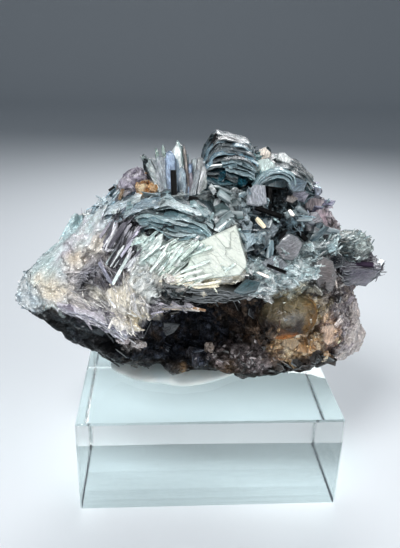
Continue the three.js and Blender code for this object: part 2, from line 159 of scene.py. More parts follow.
class Finish:
    # a new material; node() adds any node to it, shine() sets its Principled shader
    def __init__(self, name):
        self.material = bpy.data.materials.new(name)
        self.material.use_nodes = True
        self.tree = self.material.node_tree
        self.shader = self.tree.nodes["Principled BSDF"]

    def fill(self, node, sockets):
        # each named socket linked to a Value, or set to a number, vector or colour
        for name, term in sockets.items():
            socket = node.inputs[name]
            if isinstance(term, Value):
                self.tree.links.new(term.socket, socket)
            elif isinstance(term, (tuple, list, np.ndarray)) and socket.type == "RGBA":
                socket.default_value = (*term[:3], 1.0)
            else:
                socket.default_value = term

    def node(self, kind, output=0, settings={}, sockets={}):
        made = self.tree.nodes.new(kind)
        for name, setting in settings.items():
            if name == "stops":
                while len(made.color_ramp.elements) < len(setting):
                    made.color_ramp.elements.new(0.5)
                for stop, (place, colour) in zip(made.color_ramp.elements, setting):
                    stop.position = place
                    stop.color = (*colour, 1.0)
            else:
                setattr(made, name, setting)
        self.fill(made, sockets)
        return Value(self.tree, made.outputs[output])

    def shine(self, **sockets):
        self.fill(self.shader, {name.replace("_", " "): term for name, term in sockets.items()})
        return self.material

    def attribute(self, name, output="Color"):
        # what a mesh carries under this name
        return self.node("ShaderNodeAttribute", output, {"attribute_name": name})

    def noise(self, where, scale, detail=3.0, roughness=0.6):
        return self.node("ShaderNodeTexNoise", 0, {},
                         {"Vector": where, "Scale": scale, "Detail": detail, "Roughness": roughness})

    def turned(self, where, scale, rotation=(0, 0, 0), shift=(0, 0, 0)):
        # the place stretched, turned and shifted before a texture reads it
        return self.node("ShaderNodeMapping", 0, {},
                         {"Vector": where, "Scale": scale, "Rotation": rotation, "Location": shift})

    def mixed(self, factor, first, second, blend="MIX"):
        # first * (1 - factor) + second * factor, or their product where blend says MULTIPLY
        made = self.tree.nodes.new("ShaderNodeMix")
        made.data_type = "RGBA"
        made.blend_type = blend
        for index, term in ((0, factor), (6, first), (7, second)):
            socket = made.inputs[index]
            if isinstance(term, Value):
                self.tree.links.new(term.socket, socket)
            else:
                socket.default_value = term if index == 0 else (*term[:3], 1.0)
        return Value(self.tree, made.outputs[2])

    def shaded(self, colour, level):
        # the colour times one number
        grey = self.node("ShaderNodeCombineColor", 0, {}, {"Red": level, "Green": level, "Blue": level})
        return self.mixed(1.0, colour, grey, "MULTIPLY")

    def facets(self, where, scale):
        # small flat faces: each cell's height is its own tilt times the way from its centre,
        # plus a step of its own; also one random number for each cell
        cell = self.tree.nodes.new("ShaderNodeTexVoronoi")
        self.fill(cell, {"Vector": where, "Scale": scale})
        colour, centre = (Value(self.tree, cell.outputs[name]) for name in ("Color", "Position"))
        away = self.node("ShaderNodeVectorMath", 0, {"operation": "SUBTRACT"}, {0: where, 1: centre})
        middle = (0.5, 0.5, 0.5)
        tilt = self.node("ShaderNodeVectorMath", 0, {"operation": "SUBTRACT"}, {0: colour, 1: middle})
        slope = self.node("ShaderNodeVectorMath", "Value", {"operation": "DOT_PRODUCT"}, {0: away, 1: tilt})
        number = self.node("ShaderNodeSeparateColor", 0, {}, {"Color": colour})
        return slope * scale, number

    def veins(self, where, scale, thin, detail=3.0):
        # thin lines where a noise passes its middle: 1 - |noise - 0.5| * thin, not under 0
        level = self.noise(where, scale, detail, 0.55)
        return (1.0 - (level - 0.5).math("ABSOLUTE") * thin).clamped()

    def lampsPass(self, colour):
        # rays towards a lamp go through the piece, so it casts no black shadow
        path = self.node("ShaderNodeLightPath", "Is Shadow Ray")
        through = self.node("ShaderNodeBsdfTransparent", 0, {}, {"Color": colour})
        solid = Value(self.tree, self.shader.outputs[0])
        both = self.node("ShaderNodeMixShader", 0, {}, {0: path, 1: solid, 2: through})
        self.tree.links.new(both.socket, self.tree.nodes["Material Output"].inputs["Surface"])

    def bumped(self, height, strength, distance):
        # a normal tilted by the slope of a height
        return self.node("ShaderNodeBump", 0, {},
                         {"Height": height, "Strength": strength, "Distance": distance})


dulled = 0.16  # how far every tint goes towards its own grey


def paint(code):
    # a "#rrggbb" colour as three linear numbers: ((c + 0.055) / 1.055) ^ 2.4, then a little greyer
    coded = np.array([int(code[i:i + 2], 16) for i in (1, 3, 5)]) / 255
    linear = np.where(coded <= 0.04045, coded / 12.92, ((coded + 0.055) / 1.055) ** 2.4)
    return linear * (1 - dulled) + dulled * (linear @ [0.21, 0.72, 0.07])


def paints(codes):
    # a row of colours from a text of codes
    return np.array([paint(code) for code in codes.split()])


def unit(vectors):
    # each row divided by its length
    return vectors / np.maximum(np.linalg.norm(vectors, axis=-1, keepdims=True), 1e-9)


def cellNumbers(cells, seed, count):
    # repeatable numbers from 0 to 1 for whole-numbered cells: the three numbers times large primes,
    # joined bit by bit and stirred by shifts, all within 32 bits
    low32 = 0xFFFFFFFF
    joined = np.bitwise_xor.reduce(cells.astype(np.int64) * [73856093, 19349663, 83492791], axis=-1) & low32
    numbers = []
    for part in range(count):
        value = (joined + (seed * 31 + part) * 0x9E3779B9) & low32
        for _ in range(2):
            value = ((value ^ (value >> 16)) * 0x45D9F3B) & low32
        numbers.append((value ^ (value >> 16)) / low32)
    return np.stack(numbers, axis=-1)


def nearestCentres(points, size, seed, count):
    # one centre at a repeatable random place in each cube of the given size; for every point the
    # nearest centre's numbers, the way to it, and how much further the second one is
    scaled = points / size
    nearest, second = np.full((2, len(points)), 9.0)  # further than any centre can be
    numbers, ways = np.zeros((len(points), count)), np.zeros((len(points), 3))
    for step in np.stack(np.meshgrid(*[[-1, 0, 1]] * 3), -1).reshape(-1, 3):
        cube = np.floor(scaled) + step
        random = cellNumbers(cube, seed, count + 3)
        away = scaled - cube - random[:, :3]
        distance = np.linalg.norm(away, axis=1)
        closer = distance < nearest
        second = np.where(closer, nearest, np.minimum(second, distance))
        nearest = np.where(closer, distance, nearest)
        numbers[closer], ways[closer] = random[closer, 3:], away[closer]
    return numbers, ways * size, (second - nearest) * size


def softNoise(points, size, seed):
    # numbers from -1 to 1 at the corners of a grid of cubes, blended between them by 3 t^2 - 2 t^3
    scaled = points / size
    cell = np.floor(scaled)
    part = scaled - cell
    part = part * part * (3 - 2 * part)
    total = np.zeros(len(points))
    for corner in np.stack(np.meshgrid(*[[0, 1]] * 3), -1).reshape(-1, 3):
        weight = np.prod(np.where(corner == 1, part, 1 - part), axis=1)
        total += weight * (cellNumbers(cell + corner, seed, 1)[:, 0] * 2 - 1)
    return total


def wandering(points, reach, size, seed):
    # a soft noise of its own along x, y and z, as far as the reach
    return reach * np.stack([softNoise(points, size, seed + axis) for axis in range(3)], -1)


def addAttribute(mesh, label, values):
    # one number, vector or colour for each corner of the mesh
    kind, channel = {1: ("FLOAT", "value"), 2: ("FLOAT_VECTOR", "vector")}[values.ndim]
    if label == "tint":
        kind, channel = "FLOAT_COLOR", "color"
        values = np.concatenate([np.clip(values, 0, 1), np.ones((len(values), 1))], axis=1)
    mesh.attributes.new(label, kind, "POINT").data.foreach_set(channel, values.astype(np.float32).ravel())


def makePiece(name, corners, faceSets, finish, attributes={}, smooth=False):
    # a mesh object from corners in millimetres and lists of faces with equally many sides
    mesh = bpy.data.meshes.new(name)
    loops = np.concatenate([faces.ravel() for faces in faceSets])
    sizes = np.concatenate([np.full(len(faces), faces.shape[1]) for faces in faceSets])
    mesh.vertices.add(len(corners))
    mesh.vertices.foreach_set("co", (corners * mm).astype(np.float32).ravel())
    mesh.loops.add(len(loops))
    mesh.loops.foreach_set("vertex_index", loops.astype(np.int32))
    mesh.polygons.add(len(sizes))
    mesh.polygons.foreach_set("loop_start", (np.cumsum(sizes) - sizes).astype(np.int32))
    mesh.polygons.foreach_set("use_smooth", np.full(len(sizes), smooth))
    mesh.update(calc_edges=True)
    mesh.validate()
    for label, values in attributes.items():
        addAttribute(mesh, label, values)
    mesh.materials.append(finish)
    piece = newObject(name, mesh)
    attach(piece, "root")
    return piece


def ringFaces(rings, sides):
    # quads between closed rings of corners, and a lid on each end
    ring, side = np.meshgrid(np.arange(rings - 1), np.arange(sides), indexing="ij")
    here, beside = ring * sides + side, ring * sides + (side + 1) % sides
    quads = np.stack([here, beside, beside + sides, here + sides], -1).reshape(-1, 4)
    lids = np.stack([np.arange(sides)[::-1], (rings - 1) * sides + np.arange(sides)])
    return quads, lids


def pointedFaces(rings, sides):
    # quads between closed rings of corners, and triangles to one more corner at each end
    quads, _ = ringFaces(rings, sides)
    spoke = np.arange(sides)
    beside = (spoke + 1) % sides
    point, last = np.full(sides, rings * sides), (rings - 1) * sides
    ends = [np.stack([point, beside, spoke], -1), np.stack([point + 1, last + spoke, last + beside], -1)]
    return quads, np.concatenate(ends)


def changeMesh(mesh, change):
    # one bmesh step done to a mesh
    shell = bmesh.new()
    shell.from_mesh(mesh)
    change(shell)
    shell.to_mesh(mesh)
    shell.free()


sideFrom = 0.45  # of a board's width, from its middle


def boardShape(section, rings):
    # a unit crystal along a: the section's (b, c) points, scaled by each ring's (a, width, thickness)
    section, rings = np.array(section), np.array(rings)
    corners = np.empty((len(rings), len(section), 3))
    corners[..., 0] = rings[:, :1]
    corners[..., 1:] = section * rings[:, None, 1:]
    # the sides carry the rim, where the crystal finish lays its painted edge colour
    atSide = np.abs(section[:, 0]) > sideFrom
    rim = np.broadcast_to(atSide, corners.shape[:2]).astype(float)
    return corners.reshape(-1, 3), rim.ravel(), ringFaces(len(rings), len(section))


# the rim number is the share of painted edge colour on that ring
plateRings = [(-0.5, 0.86, 0.0), (-0.2, 1.0, 1.0), (0.2, 1.0, 1.0), (0.5, 0.86, 0.0)]  # c, scale, rim


def plateShape(outline):
    # a unit crystal as a flat plate: the outline in (a, b), carried through the thickness c
    # and drawn in a little at both broad faces
    outline = np.array(outline)
    middle = outline.mean(0)
    corners = []
    for c, scale, _ in plateRings:
        drawn = middle + (outline - middle) * scale
        corners.append(np.column_stack([drawn, np.full(len(outline), c)]))
    rim = np.repeat([rim for _, _, rim in plateRings], len(outline))
    return np.concatenate(corners), rim, ringFaces(len(plateRings), len(outline))


hexSection = [(-0.5, 0), (-0.34, -0.5), (0.34, -0.5), (0.5, 0), (0.34, 0.5), (-0.34, 0.5)]
squareSection = [(-0.5, 0), (0, -0.5), (0.5, 0), (0, 0.5)]
shapes = {
    "lath": [
        boardShape(hexSection, [(0, 0.7, 0.8), (0.4, 1, 1), (0.85, 0.95, 0.9), (1, 0.5, 0.4)]),
        boardShape(hexSection, [(0, 0.8, 1), (0.5, 1, 0.9), (0.92, 0.98, 0.9), (1, 0.8, 0.5)]),
    ],
    "needle": [boardShape(squareSection, [(0, 0.6, 0.6), (0.6, 1, 1), (1, 0.3, 0.3)])],
    "plate": [
        plateShape([(0, -0.3), (0.75, -0.5), (1, -0.2), (1, 0.3), (0.7, 0.5), (0, 0.4)]),
        plateShape([(0, -0.45), (0.95, -0.5), (1, 0.4), (0.1, 0.5)]),
        plateShape([(0, -0.2), (0.55, -0.5), (1, 0.1), (0.5, 0.5), (0.05, 0.3)]),
    ],
    "grain": [
        boardShape(squareSection, [(0, 0.8, 0.8), (0.5, 1, 1), (1, 0.55, 0.6)]),
        boardShape([(-0.5, -0.3), (0.1, -0.5), (0.5, 0.1), (-0.1, 0.5)],
                   [(0, 1, 1), (0.6, 1, 0.9), (1, 0.3, 0.5)]),
    ],
    "chunk": [
        plateShape([(0, -0.3), (0.6, -0.5), (1, -0.25), (1, 0.35), (0.6, 0.5), (0, 0.4)]),
        plateShape([(0, -0.45), (0.9, -0.5), (1, 0.3), (0.7, 0.5), (0.1, 0.5)]),
        plateShape([(0, -0.2), (0.5, -0.5), (1, -0.1), (0.9, 0.4), (0.4, 0.5)]),
    ],
    "prism": [
        boardShape(hexSection, [(0, 0.9, 0.9), (0.5, 1, 1), (0.82, 1, 1), (1, 0.4, 0.5)]),
        boardShape(squareSection, [(0, 1, 0.9), (0.6, 1, 1), (0.9, 0.95, 1), (0.97, 0.6, 0.7)]),
        boardShape([(-0.5, -0.35), (0.35, -0.5), (0.5, 0.3), (-0.3, 0.5)],
                   [(0, 1, 1), (0.95, 0.92, 0.95), (1, 0.7, 0.8)]),
    ],
    "rod": [boardShape(hexSection, [(0, 0.97, 0.97), (0.02, 1, 1), (0.98, 1, 1), (1, 0.9, 0.9)])],
    "blade": [
        boardShape(hexSection, [(0, 0.7, 0.9), (0.5, 0.92, 1), (0.86, 1, 1),
                                (0.93, 0.8, 0.95), (1, 0.2, 0.5)]),
        boardShape(hexSection, [(0, 0.8, 0.9), (0.4, 1, 1), (0.93, 0.9, 1), (1, 0.7, 0.6)]),
    ],
}


# painted shade: a crystal's tint darker the lower a corner lies against the rock, lighter the higher it
# stands
paintedShadeByHeight = {"open": 0.9, "perMm": 0.35, "least": 0.4, "most": 1.1}  # tints are darker in the crevices
gathered = ("tint", "rim", "grain")


def growCrystals(shapeName, batch, random, nudge=0.045):
    # every crystal of a batch as one set of arrays: corner = root + a * length * along
    # + b * width * across + (c * thick + bend * a * a) * face, with each corner nudged
    choice = random.integers(len(shapes[shapeName]), size=len(batch["root"]))
    corners, faceSets, attributes, start = [], [], {label: [] for label in gathered}, 0
    for index, (unitCorners, rim, faces) in enumerate(shapes[shapeName]):
        chosen = {key: values[choice == index] for key, values in batch.items()}
        count = len(chosen["root"])
        if count == 0:
            continue
        local = unitCorners + random.normal(0, nudge, (count, *unitCorners.shape))
        a, b, c = (local[..., i:i + 1] for i in range(3))
        sizes = ("length", "width", "thick", "bend")
        length, width, thick, bend = (chosen[key][:, None, None] for key in sizes)
        along, across, face, base = (chosen[key][:, None] for key in ("along", "across", "face", "root"))
        placed = base + a * length * along + b * width * across + (c * thick + bend * a * a) * face
        corners.append(placed.reshape(-1, 3))
        # painted shade from each corner's height above the rock
        height = ((placed - chosen["spot"][:, None]) * chosen["out"][:, None]).sum(-1)
        deep = np.clip(paintedShadeByHeight["open"] + height * paintedShadeByHeight["perMm"], paintedShadeByHeight["least"], paintedShadeByHeight["most"])
        seed = np.broadcast_to(random.uniform(0, 90, (count, 1, 1)), a.shape)
        attributes["tint"].append((chosen["tint"][:, None] * deep[..., None]).reshape(-1, 3))
        attributes["rim"].append(np.tile(rim, count))
        attributes["grain"].append(np.concatenate([b * width, a * length, seed], -1).reshape(-1, 3))
        shift = start + np.arange(count)[:, None, None] * len(unitCorners)
        faceSets += [(each + shift).reshape(-1, each.shape[1]) for each in faces]
        start += count * len(unitCorners)
    return np.concatenate(corners), faceSets, joined(attributes)


def joined(lists):
    # each key's arrays, one after another
    return {key: np.concatenate(arrays) for key, arrays in lists.items()}


def grownPiece(name, shapeName, batch, random, nudge, finish):
    # one piece made of a whole batch
    corners, faceSets, attributes = growCrystals(shapeName, batch, random, nudge)
    makePiece(name, corners, faceSets, finish, attributes)
    triangles = sum(len(faces) * (faces.shape[1] - 2) for faces in faceSets)
    print(f"{name}: {len(batch['root'])} crystals, {triangles} triangles")


# What grows in each kind of patch: crystals to a square millimetre, then length, width and
# thickness as (least, most).
habits = {
    "sugar": {
        "grain": (0.1, (0.6, 1.4), (0.5, 1.1), (0.3, 0.7)),
        "lath": (0.05, (1.6, 3.6), (0.3, 0.7), (0.2, 0.4)),
    },
    "fibre": {
        "lath": (0.12, (2.5, 5), (0.3, 0.8), (0.2, 0.4)),
        "needle": (0.12, (2, 4.5), (0.2, 0.35), (0.15, 0.3)),
    },
    "spray": {
        "needle": (0.25, (2.5, 5.5), (0.2, 0.4), (0.15, 0.3)),
        "lath": (0.08, (2.5, 5.5), (0.3, 0.9), (0.2, 0.4)),
    },
    "blade": {
        "lath": (0.1, (2.2, 5), (0.4, 1.0), (0.2, 0.4)),
        "plate": (0.03, (2, 4), (1.4, 2.6), (0.2, 0.4)),
        "needle": (0.07, (2, 4), (0.2, 0.4), (0.15, 0.3)),
    },
    "plate": {
        "plate": (0.035, (2.4, 5.0), (1.8, 3.6), (0.4, 1.0)),
        "lath": (0.015, (2.5, 4), (0.5, 1.0), (0.3, 0.6)),
        "grain": (0.04, (0.8, 1.6), (0.7, 1.3), (0.5, 1.0)),
    },
    "sheet": {
        "lath": (0.1, (2.2, 5), (0.3, 0.7), (0.2, 0.3)),
        "plate": (0.015, (2.5, 5), (1.4, 2.6), (0.2, 0.4)),
    },
    "crust": {
        "grain": (0.16, (0.7, 1.7), (0.6, 1.4), (0.5, 1.0)),
        "plate": (0.01, (2, 3.6), (1.4, 2.4), (0.4, 0.8)),
    },
    "froth": {
        "needle": (0.2, (1.4, 3.0), (0.2, 0.4), (0.15, 0.3)),
        "lath": (0.12, (1.6, 3.2), (0.3, 0.8), (0.2, 0.3)),
        "plate": (0.015, (2, 4), (1.4, 2.6), (0.3, 0.6)),
    },
    "dark": {
        "plate": (0.005, (2.4, 5), (1.4, 3.4), (0.3, 0.8)),
        "lath": (0.006, (2.4, 5), (0.4, 1.0), (0.2, 0.5)),
    },
    "glass": {
        "plate": (0.008, (2.5, 5), (1.8, 4), (0.4, 0.9)),
    },
    "chunk": {
        "prism": (0.045, (3.4, 7.5), (1.4, 3.2), (0.8, 1.8)),
        "chunk": (0.012, (2.6, 5), (2, 4), (0.6, 1.2)),
        "lath": (0.07, (2.0, 4.5), (0.3, 0.8), (0.2, 0.4)),
        "needle": (0.06, (1.6, 3.4), (0.2, 0.35), (0.15, 0.3)),
    },
    "smooth": {
        "grain": (0.05, (0.5, 1.1), (0.5, 1.0), (0.25, 0.5)),
        "lath": (0.03, (1.4, 3.0), (0.3, 0.6), (0.2, 0.3)),
    },
    "soft": {
        "lath": (0.14, (2.0, 4.6), (0.4, 1.0), (0.2, 0.4)),
        "needle": (0.06, (2, 4), (0.2, 0.4), (0.15, 0.3)),
    },
    "bare": {},
}

# Each patch of the specimen: habit, where it is, how far it reaches, the way its crystals lie,
# how far sheaves stray from it, how much crystals stand up, how rough the rock is, and its colours.
patches = {
    "leftTip": ("sugar", (-52, -5, 60), (4, 7, 5), (-0.6, -0.2, 0.3), 0.7, (0, 0.5), 0.7,
        "#cbd5d8 #e1e6e7 #b5c1c8 #a5b3bc"),
    "leftLobe": ("smooth", (-43, -8, 69), (7, 8, 7), (0.6, -0.2, 0.7), 0.5, (0, 0.06), 0.55,
        "#d2e3e2 #e1eeee #c5dbdc #d8e3e7 #b8ced0 #d8dce1"),
    "leftEdge": ("smooth", (-42, 4, 74), (7, 7, 5), (0.7, 0, 0.7), 0.4, (0, 0.06), 0.6,
        "#c5dcdf #daedee #b1cbd1 #cee2e4"),
    "slope": ("smooth", (-33, -7, 79), (7, 6, 5), (0.8, -0.1, 0.6), 0.3, (0, 0.06), 0.5,
        "#c7d8d9 #d9e5e5 #d0d3db #b6c9cc #dadddb #d2d3dc"),
    "blueSlope": ("fibre", (-29, 3, 85), (6, 6, 3.5), (0.75, -0.1, 0.6), 0.3, (0, 0.2), 0.8,
        "#a9c0cc #8ba7b4 #c4d6dc #6f8a98 #d9e4e8"),
    "crestRock": ("plate", (-22, 0, 90), (4.5, 5, 3), (0.8, 0, 0.6), 0.6, (0.1, 0.6), 1,
        "#8c8a96 #b6b4be #6a6470 #a39a94 #d3d3d8"),
    "waves": ("sheet", (-11, -13, 89), (11, 5, 3.6), (0.95, -0.15, 0.05), 0.2, (0, 0.12), 0.9,
        "#69797b #879696 #a5b0af #4b5c5f #b6bfbf #364347"),
    "lens": ("dark", (-12, -22, 85), (5, 3, 1.8), (0.95, 0, 0.1), 0.2, (0, 0.2), 0.8,
        "#10171d #1e2932 #33424b #56666d"),
    # painted shade: near-black tints for the dark gaps between crystals here
    "streak": ("dark", (-19.5, -17, 85), (4.5, 3.5, 1.6), (0.9, -0.1, -0.25), 0.25, (0, 0.2), 0.8,
        "#0f1317 #1c1f26 #31333d #6b6f7b"),
    "prisms": ("spray", (-24, -17.5, 80), (5, 4, 4.5), (0.6, -0.15, 0.75), 0.18, (0, 0.2), 0.9,
        "#5a5561 #7c7784 #39363e #9c97a4 #252329 #c2bdc7"),
    "creamA": ("smooth", (-31, -14, 79), (3.4, 4, 3.2), (0.7, -0.2, 0.6), 0.4, (0, 0.3), 0.6,
        "#e3e1dd #ece9e3 #d9dcdc #e0dcd8"),
    "creamB": ("smooth", (-37, -13.5, 74), (3.4, 4, 3), (0.6, -0.2, 0.6), 0.4, (0, 0.3), 0.6,
        "#e4e2dd #ebe8e2 #dcdfde"),
    "lavender": ("fibre", (-34, -15, 72), (4.5, 4, 4), (0.6, -0.3, 0.6), 0.5, (0, 0.35), 0.8,
        "#83838d #9796a0 #696973 #a9a8af #47474f"),
    "needles": ("spray", (-29, -19, 71), (5, 4, 5), (0.5, -0.3, -0.7), 0.4, (0, 0.3), 0.9,
        "#837f89 #9c98a1 #5e5a65 #b5b3b8 #403d45 #a59f9d"),
    "peach": ("smooth", (-43, -12, 64), (5, 5, 3.4), (0.8, -0.3, -0.1), 0.5, (0, 0.35), 0.7,
        "#e2dfd8 #ebe8e1 #dadcd9 #dfe2e1 #e4dfd9"),
    "lowNeedles": ("spray", (-34, -17, 64), (6, 5, 4), (0.8, -0.35, -0.2), 0.4, (0, 0.35), 0.8,
        "#cbc8c9 #dedbdb #aca8ae #e6e1da #8f8b93"),
    "creamStreak": ("soft", (-24, -22, 66), (4.5, 4, 5), (0.3, -0.2, -0.8), 0.5, (0, 0.35), 0.8,
        "#e0dbd4 #dad7d5 #e8e3d9 #cac8c9 #e4dbc8"),
    "mint": ("soft", (-12, -26, 79), (6.5, 5, 4.5), (0.7, -0.25, 0.6), 0.45, (0, 0.3), 0.9,
        "#d1e2dc #dfebe6 #bdd2cd #e6efeb #b0c8c4 #d8e6e1"),
    "mintLow": ("soft", (-18, -26, 74), (5, 4, 4), (0.5, -0.25, 0.7), 0.6, (0, 0.35), 0.9,
        "#dadedb #e8eae7 #c6cbc8 #efece4 #bcc0c0"),
    "creamCore": ("smooth", (-12, -28.5, 74), (5, 3, 2.6), (0.7, -0.3, -0.1), 0.5, (0, 0.3), 0.7,
        "#e6e2da #dcd7d2 #ebe7de #cdcac9"),
    "goldLedge": ("sugar", (-2, -28, 73), (5, 3, 1.6), (0.95, 0, -0.05), 0.3, (0, 0.2), 0.7,
        "#e2dcca #dad1ba #e8e5dc #d7d6d1"),
    "ledgeUnder": ("fibre", (-3, -24, 68.5), (9, 5, 2.6), (0.95, 0, -0.1), 0.15, (0, 0.12), 0.8,
        "#1b1a1d #2a2a2e #111013 #403e43 #0b0a0c"),
    "tealHollow": ("dark", (-11, -27, 71), (3.4, 3, 1.4), (0.9, 0, 0.2), 0.2, (0, 0.2), 0.8,
        "#12282d #1d3b40 #0b171b"),
    "sheafSide": ("fibre", (-12, -24, 65.5), (3.6, 4, 2.4), (0.95, 0, -0.15), 0.2, (0, 0.2), 0.8,
        "#7f7c86 #aaa6ae #595660 #c9c4c6"),
    "goldSpot": ("sugar", (-19, -21, 61), (3.2, 3.4, 2.6), (0.7, -0.2, -0.4), 0.4, (0, 0.3), 0.8,
        "#e3d7c0 #e7e1d3 #d6d2cd #ccc1ae"),
    "lip": ("fibre", (-34, -16.5, 59), (7, 4, 2.6), (0.8, -0.3, -0.3), 0.25, (0, 0.2), 0.8,
        "#b2aeb9 #cecbd2 #8e8a96 #e0dee1 #6d6974"),
    "lipRight": ("fibre", (-25, -17, 55), (4.5, 4, 3.4), (0.7, -0.3, -0.55), 0.3, (0, 0.25), 0.9,
        "#c3c0c8 #dcdade #97939c #736e77"),
    # painted shade: underLeft, navyHole, hollow and keel have near-black tints, their own dark colours
    # darkened further for the shade under the rock and in the hollow
    "underLeft": ("dark", (-38, -7, 51), (12, 9, 5), (0.75, -0.2, -0.5), 0.4, (0, 0.15), 0.7,
        "#0b1114 #161f25 #070b0d #263138 #465258 #0f1624"),
    "navyHole": ("glass", (-31, -9, 47), (8, 6, 4), (0.75, -0.2, -0.5), 0.4, (0, 0.2), 1,
        "#05070d #080c16 #030506 #0c121c"),
    "hollow": ("dark", (-9, -8, 48), (13, 8, 7), (0.6, -0.5, -0.3), 0.8, (0, 0.5), 1.4,
        "#07090f #10141e #1b212d #2b3240 #3a2d24 #4a5160"),
    "keel": ("dark", (-6, -10, 38), (18, 6, 4), (0.9, -0.2, 0.1), 0.4, (0, 0.3), 1.1,
        "#100e0d #1b1715 #0a090a #302924 #222833 #433d38"),
    "paleBits": ("crust", (-22, -13, 48), (3.6, 3, 1.2), (0.9, -0.2, 0.1), 0.5, (0.1, 0.5), 1,
        "#cfc8c6 #e9e5e2 #a89d98 #6d6663"),
    "flake": ("glass", (-13, -9, 51), (4, 3, 1.8), (0.9, -0.2, 0.1), 0.3, (0, 0.2), 0.8,
        "#4b4e58 #6c6f7a #2e3038"),
    "brownWall": ("dark", (7, -12, 55), (8, 5, 7), (0.3, -0.3, -0.8), 0.7, (0, 0.5), 1.3,
        "#1d1512 #3b2a20 #120e0d #5c4738 #2b2b33 #7a6450"),
    "lilacGrain": ("crust", (8, -13, 43), (8, 5, 4), (0.6, -0.3, -0.4), 0.7, (0.1, 0.7), 1.1,
        "#6b605f #8d8184 #453b39 #a89c9c #2c2523"),
    "amberRim": ("crust", (20, -16, 66), (8, 5, 2), (0.4, -0.4, -0.3), 0.6, (0.1, 0.7), 0.9,
        "#b1bab2 #929893 #cfd0c3 #a79d7c #7d7a70 #c9c4b0"),
    "amberRight": ("crust", (28, -15, 58), (3, 5, 4), (0.3, -0.4, 0.6), 0.7, (0.1, 0.7), 1,
        "#c2b49a #dacfbd #9c8b6c #ada093 #cbb06a"),
    "orangeCrust": ("crust", (26, -15, 50), (6.5, 5, 3.4), (0.5, -0.4, 0.2), 0.8, (0.1, 0.7), 1.2,
        "#d6b27e #e6d2ae #b98d58 #ecdfc8 #8a6540 #c2ae98"),
    "tanFace": ("crust", (34, -13, 52), (3.4, 4, 3.6), (0.2, -0.3, 0.8), 0.5, (0, 0.4), 0.8,
        "#c2a188 #d6b692 #a98f86 #b39c94"),
    # painted shade: the rock's own dark brown darkened to near-black for the shadow beneath the low ledge
    "baseRight": ("plate", (26, -12, 42), (10, 5, 3), (0.9, -0.2, 0.15), 0.4, (0, 0.4), 1.1,
        "#150e0c #261b16 #0c0808 #3c302a #514742"),
    "rightFoot": ("smooth", (43, -4, 47), (5, 8, 8), (0.3, -0.3, 0.7), 0.6, (0.1, 0.6), 1,
        "#bdb2af #cdc3c0 #a79b9d #d8cfc9 #c3b4ab"),
    "footInner": ("crust", (37, -10, 55), (2.6, 4, 6), (0.2, -0.3, 0.9), 0.4, (0, 0.5), 1,
        "#a1979a #b8afaf #867c82 #c6bab4"),
    "tanWall": ("crust", (31, -14, 68), (4.5, 4, 4.5), (0.3, -0.3, 0.9), 0.5, (0, 0.4), 1,
        "#7b7372 #8b817d #655f62 #9a8f88 #514d51"),
    "neck": ("crust", (40, -6, 61), (4, 6, 3.4), (0.3, -0.2, 0.9), 0.5, (0, 0.4), 0.8,
        "#a0928c #b8a99f #857b80 #756a71"),
    "beakTop": ("sugar", (40, -3, 76), (5, 6, 3), (0.8, -0.2, 0.5), 0.7, (0.1, 0.7), 1,
        "#96a5a4 #b5c1bf #77888b #ccd5d2 #8d918b"),
    "beakSide": ("froth", (37, -7, 75), (3.4, 4, 2.6), (0.8, -0.3, 0.4), 0.6, (0.1, 0.6), 1,
        "#5c6d71 #798b8e #414f53 #96a3a5 #777873"),
    # painted shadow: a dark navy patch where the shadow falls between the beak's top and its jaw
    "navy": ("glass", (36, -8, 70.5), (3.6, 3, 2), (0.7, -0.3, 0.1), 0.4, (0, 0.3), 0.8,
        "#0d1524 #151f31 #1f2c41"),
    "jaw": ("fibre", (44, -4, 66.5), (6, 5, 2.6), (0.95, -0.1, 0.15), 0.25, (0, 0.25), 0.8,
        "#6f6c73 #625e65 #807c84 #524e54 #8f8c91"),
    "frothLow": ("froth", (12, -19, 66), (5, 4, 3), (0.7, -0.4, -0.1), 0.55, (0, 0.35), 0.9,
        "#d7e6e8 #f2fcfc #b3c4c8 #ffffff #96a7ac"),
    "frothMid": ("froth", (21, -18, 74), (7, 4, 3.4), (0.8, -0.3, 0.2), 0.5, (0, 0.4), 1,
        "#c4d6d8 #e0ecec #a0b4b8 #f4fbfb #82959a #b3c7ca"),
    "frothRight": ("froth", (26, -16, 79), (4.5, 4, 3), (0.6, -0.3, 0.6), 0.5, (0, 0.45), 1.1,
        "#b9cccd #d1dfdf #93a9ad #e6eeee #7d9094"),
    "stubby": ("chunk", (13, -15, 84), (7, 4, 5), (0, 0, 0), 1, (0.1, 0.8), 1.4,
        "#526872 #6e8690 #86a0a9 #37484f #9bb3bb #74818d"),
    "stubbyRight": ("chunk", (23, -10, 84), (5, 4, 4), (0, 0, 0), 1, (0.1, 0.8), 1.2,
        "#637981 #7f939b #43545b #99acb3 #787d88"),
    "grot": ("glass", (18, -8, 90), (5, 4, 2.6), (0, 0, 0), 0.8, (0, 0.3), 1.2,
        "#070a0d #0f1519 #182025 #28343a"),
    "prismZone": ("chunk", (2, -15, 90), (4, 4, 3.4), (0, 0, 0), 0.9, (0.1, 0.6), 1.2,
        "#4f6668 #8ea3a5 #ccd6d9 #1d2e31 #e3e9ea"),
    "tealGlass": ("glass", (1, -9, 95), (3.6, 3, 2.6), (0.5, -0.4, -0.6), 0.4, (0, 0.2), 0.8,
        "#0c4454 #115e71 #082d38 #1a7385"),
    "peakDark": ("sheet", (4, -2, 99), (6, 5, 3.4), (0.85, 0, 0.2), 0.25, (0, 0.15), 0.8,
        "#263b42 #344d55 #4c6d76 #1b2a30 #688a94"),
    "mintCluster": ("blade", (14, -4, 97.5), (4.5, 4, 2.6), (0.8, -0.3, -0.2), 0.5, (0, 0.4), 1,
        "#618589 #759799 #4c7076 #82a1a4"),
